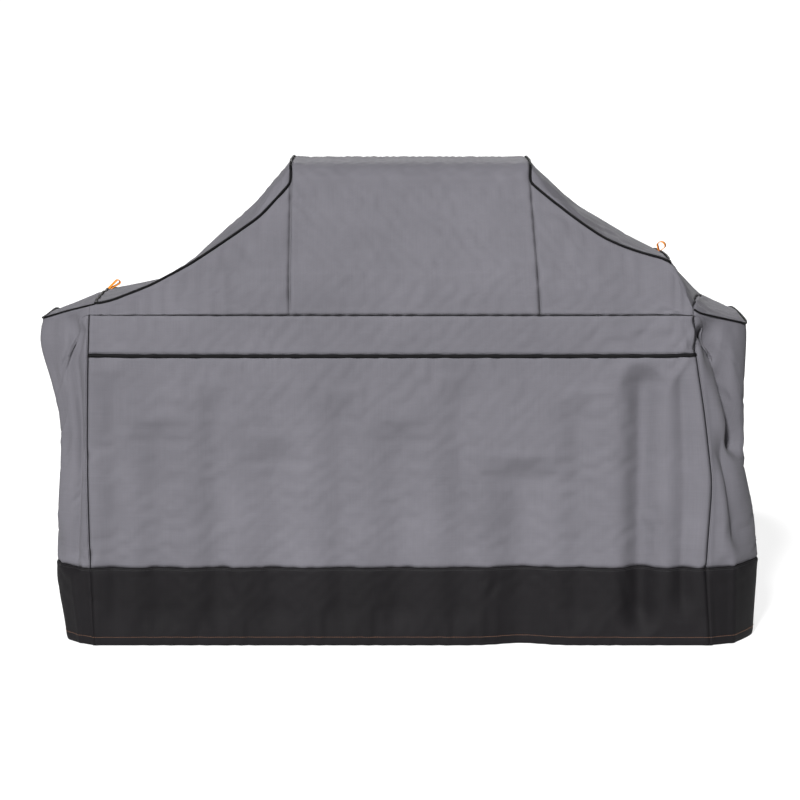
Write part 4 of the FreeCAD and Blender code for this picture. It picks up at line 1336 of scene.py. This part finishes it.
body_thread = Stitches("body_stitching", GREY_THREAD)
for face in ("front", "back"):
    for row, towards, distance in ((R_SKIRT * FINER, 1, 0.0085), (R_BAND * FINER, 1, 0.005)):
        line, near = band_line(face, row), band_line(face, row + towards)
        body_thread.row(beside(line, near, distance), NORMALS[line])
    rows = range(R_LOWER * FINER, R_BAND * FINER)
    for i, towards in ((I_SEAM_L * FINER, -1), (I_SEAM_R * FINER, 1)):
        line = [wall_at(face, row, i) for row in rows]
        near = [wall_at(face, row, i + towards) for row in rows]
        body_thread.row(beside(line, near, 0.005), NORMALS[near])
for i, towards in ((I_HOOD_L * FINER, 1), (I_HOOD_R * FINER, -1)):
    stations = hood_stations(i)
    line = [station[2] for station in stations]
    near = [station[2 + towards] for station in stations]
    body_thread.row(beside(line, near, 0.005), NORMALS[near])
body_stitching = body_thread.finish("grey_cloth")


# ---- cord in the hem, eyelets and lock ------------------------------------------------------
CORD_IN = 0.0045              # the cord's middle line lies this far inside the cloth
EXIT_CLEAR = 0.030            # no points of the hem this near the place where the cord comes out


def hem_cord_points():
    """From one eyelet round the inside of the hem to the other."""
    start, end = fine.nx, fine.nx + fine.ny
    ring = [k % fine.columns for k in range(start + fine.ny // 2, start + fine.ny // 2 + fine.columns + 1)]
    inner = []
    for k in ring:
        p, n = fine.wall[1, k], NORMALS[fine.columns + k]
        place = p - n * CORD_IN
        on_exit_side = start < k < end and abs(place[1]) < EXIT_CLEAR
        if not on_exit_side:
            inner.append((place[0], place[1], EXIT[2] + 0.3 * (place[2] - EXIT[2])))
    lead_in = [(EXIT[0], EXIT[1], EXIT[2]), (HEM_RIGHT_X - 0.0015, EXIT[1] + 0.0005, EXIT[2])]
    lead_in.append((HEM_RIGHT_X - 0.0040, EXIT[1] + 0.0060, EXIT[2]))
    lead_out = [(x, -y, z) for x, y, z in reversed(lead_in)]
    return lead_in + inner + lead_out


sew_on(tube("hem_cord", hem_cord_points(), CORD_D / 2, CORD), "black_cord", "hem_drawcord")


def finish_node(node, material, bevel=0.0):
    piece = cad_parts[node]
    piece.data.materials.clear()
    piece.data.materials.append(material)
    if bevel:
        modifier = piece.modifiers.new("soft edges", "BEVEL")
        modifier.width = bevel
        modifier.segments = 3
        modifier.limit_method = "ANGLE"
        modifier.angle_limit = math.radians(35)
    return piece


finish_node("drawcord_eyelets", NICKEL)
lock_pieces = [
    finish_node("cord_lock_barrel", PLASTIC, 0.0009),
    finish_node("cord_lock_plunger", PLASTIC, 0.0005),
    finish_node("cord_lock_spring", STEEL),
]


# ---- pull loops -----------------------------------------------------------------------------
WEBBING_W = 0.025
WEBBING_T = 0.0020
ROOT_R = 0.0024 - WEBBING_T / 2
# across the webbing, from one selvedge to the other: place, share of the thickness
SELVEDGES = [(-1.0, 0.25), (-0.94, 1.0), (-0.5, 1.0), (0.0, 1.0), (0.5, 1.0), (0.94, 1.0), (1.0, 0.25)]


def loop_outline(length, rise, steps=14):
    """(along, up) points of the webbing's middle line: round the far end and back to the root."""
    end_r = rise / 2
    far = length - end_r
    points = [(0.0, -ROOT_R)]
    for n in range(steps + 1):
        angle = -math.pi / 2 + math.pi * n / steps
        points.append((far + end_r * math.cos(angle), end_r * math.sin(angle)))
    points.append((0.0, ROOT_R))
    for n in range(1, 6):
        angle = math.pi / 2 + math.pi * n / 6
        points.append((ROOT_R * math.cos(angle), ROOT_R * math.sin(angle)))
    return points


def divided(outline, step=0.004):
    """A closed outline with points about a step apart along its straight parts."""
    out = []
    for a, b in zip(outline, outline[1:] + outline[:1]):
        pieces = max(1, int(math.dist(a, b) / step))
        out += [tuple(p + (q - p) * n / pieces for p, q in zip(a, b)) for n in range(pieces)]
    return out


def strip_faces(count, span):
    """Faces of a closed strip. Each station has span points outside, then span inside."""
    faces = []
    for n in range(count):
        here, there = 2 * span * n, 2 * span * ((n + 1) % count)
        for a in range(span - 1):
            low = a + span
            faces.append((here + a, there + a, there + a + 1, here + a + 1))
            faces.append((here + low, here + low + 1, there + low + 1, there + low))
        for outer, inner in ((0, span), (span - 1, 2 * span - 1)):
            faces.append((here + outer, here + inner, there + inner, there + outer))
    return faces


def pull_loop(name, node, body, hinge, length, rise, lean, turn):
    """Folded webbing: a closed strip with rounded selvedges that turns about its sewn root."""
    outline = divided(loop_outline(length, rise))
    count = len(outline)
    tilt, yaw = math.radians(lean), math.radians(turn)
    verts, uv = [], []
    total = 0.0
    for n, here in enumerate(outline):
        before, after = outline[n - 1], outline[(n + 1) % count]
        total += math.dist(here, before) if n else 0.0
        size = math.dist(after, before)
        out = ((after[1] - before[1]) / size, -(after[0] - before[0]) / size)
        for layer in (1, -1):
            for share, full in SELVEDGES:
                a, b = (p + o * layer * WEBBING_T / 2 * full for p, o in zip(here, out))
                x = a * math.cos(tilt) - b * math.sin(tilt)
                z = a * math.sin(tilt) + b * math.cos(tilt)
                y = share * WEBBING_W / 2
                verts.append((
                    hinge.x + x * math.cos(yaw) - y * math.sin(yaw),
                    hinge.y + x * math.sin(yaw) + y * math.cos(yaw),
                    hinge.z + z,
                ))
                uv.append((share * WEBBING_W * 60, total))
    piece = mesh_object(name, verts, strip_faces(count, len(SELVEDGES)), uv, ORANGE, outwards=True)
    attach(piece, body)
    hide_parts(node)
    return piece


# where each loop is sewn on and turns
LEFT_HINGE = Vector((-0.76452, 0.0, 0.88023))
RIGHT_HINGE = Vector((0.67919, 0.0, 0.98038))
pull_loop("left_webbing_loop", "left_pull_loop", "left_loop", LEFT_HINGE, 0.036, 0.0110, 36.0, 14.0)
pull_loop("right_webbing_loop", "right_pull_loop", "right_loop", RIGHT_HINGE, 0.025, 0.0215, 72.0, -13.0)


# ---- floor and light ------------------------------------------------------------------------
FLOOR = 20                    # half the floor's width


def make_stage():
    """A pale floor. It glows near the object and in a widening wedge behind it, and less outside."""
    corners = [(-FLOOR, -FLOOR, 0), (FLOOR, -FLOOR, 0), (FLOOR, FLOOR, 0), (-FLOOR, FLOOR, 0)]
    mesh = new_mesh("floor", corners, [(0, 1, 2, 3)])
    s = Shader("pale_floor", Roughness=0.9, Emission_Color=(1.0, 1.0, 1.0, 1.0))
    s.join(s.ramp(s.noise(s.place(), 2.0), (0.28,) * 3, (0.31,) * 3), s.base.inputs["Base Color"])
    x, y, _ = s.split(s.place())
    behind = s.math("MULTIPLY", s.math("MAXIMUM", y, 0.0), 0.45)
    glow = s.span(s.math("SUBTRACT", s.math("ABSOLUTE", x), behind), (1.5, 2.8), (0.74, 0.15))
    s.join(glow, s.base.inputs["Emission Strength"])
    mesh.materials.append(s.material)
    link(bpy.data.objects.new("floor", mesh))
    light_world()
    bpy.context.scene.view_settings.view_transform = "Standard"
    sun_light("front sun", (0.24, 0.82, -0.52), 8.0, 8.0)
    sun_light("back sun", (-0.05, -0.88, -0.47), 1.6, 25.0)


def light_world():
    """A studio: white behind the object, dim in front and above, dark to both sides."""
    world = bpy.data.worlds.new("studio")
    world.use_nodes = True
    w = Nodes(world.node_tree)
    x, y, _ = w.split(w.place("Generated"))
    behind = w.span(y, (0.90, 0.965), (0.10, 1.10))
    middle = w.span(w.math("ABSOLUTE", x), (0.30, 0.55), (1.0, 0.08))
    background = w.tree.nodes["Background"]
    background.inputs["Color"].default_value = (1.0, 1.0, 1.0, 1.0)
    w.join(w.math("MULTIPLY", behind, middle), background.inputs["Strength"])
    bpy.context.scene.world = world


make_stage()
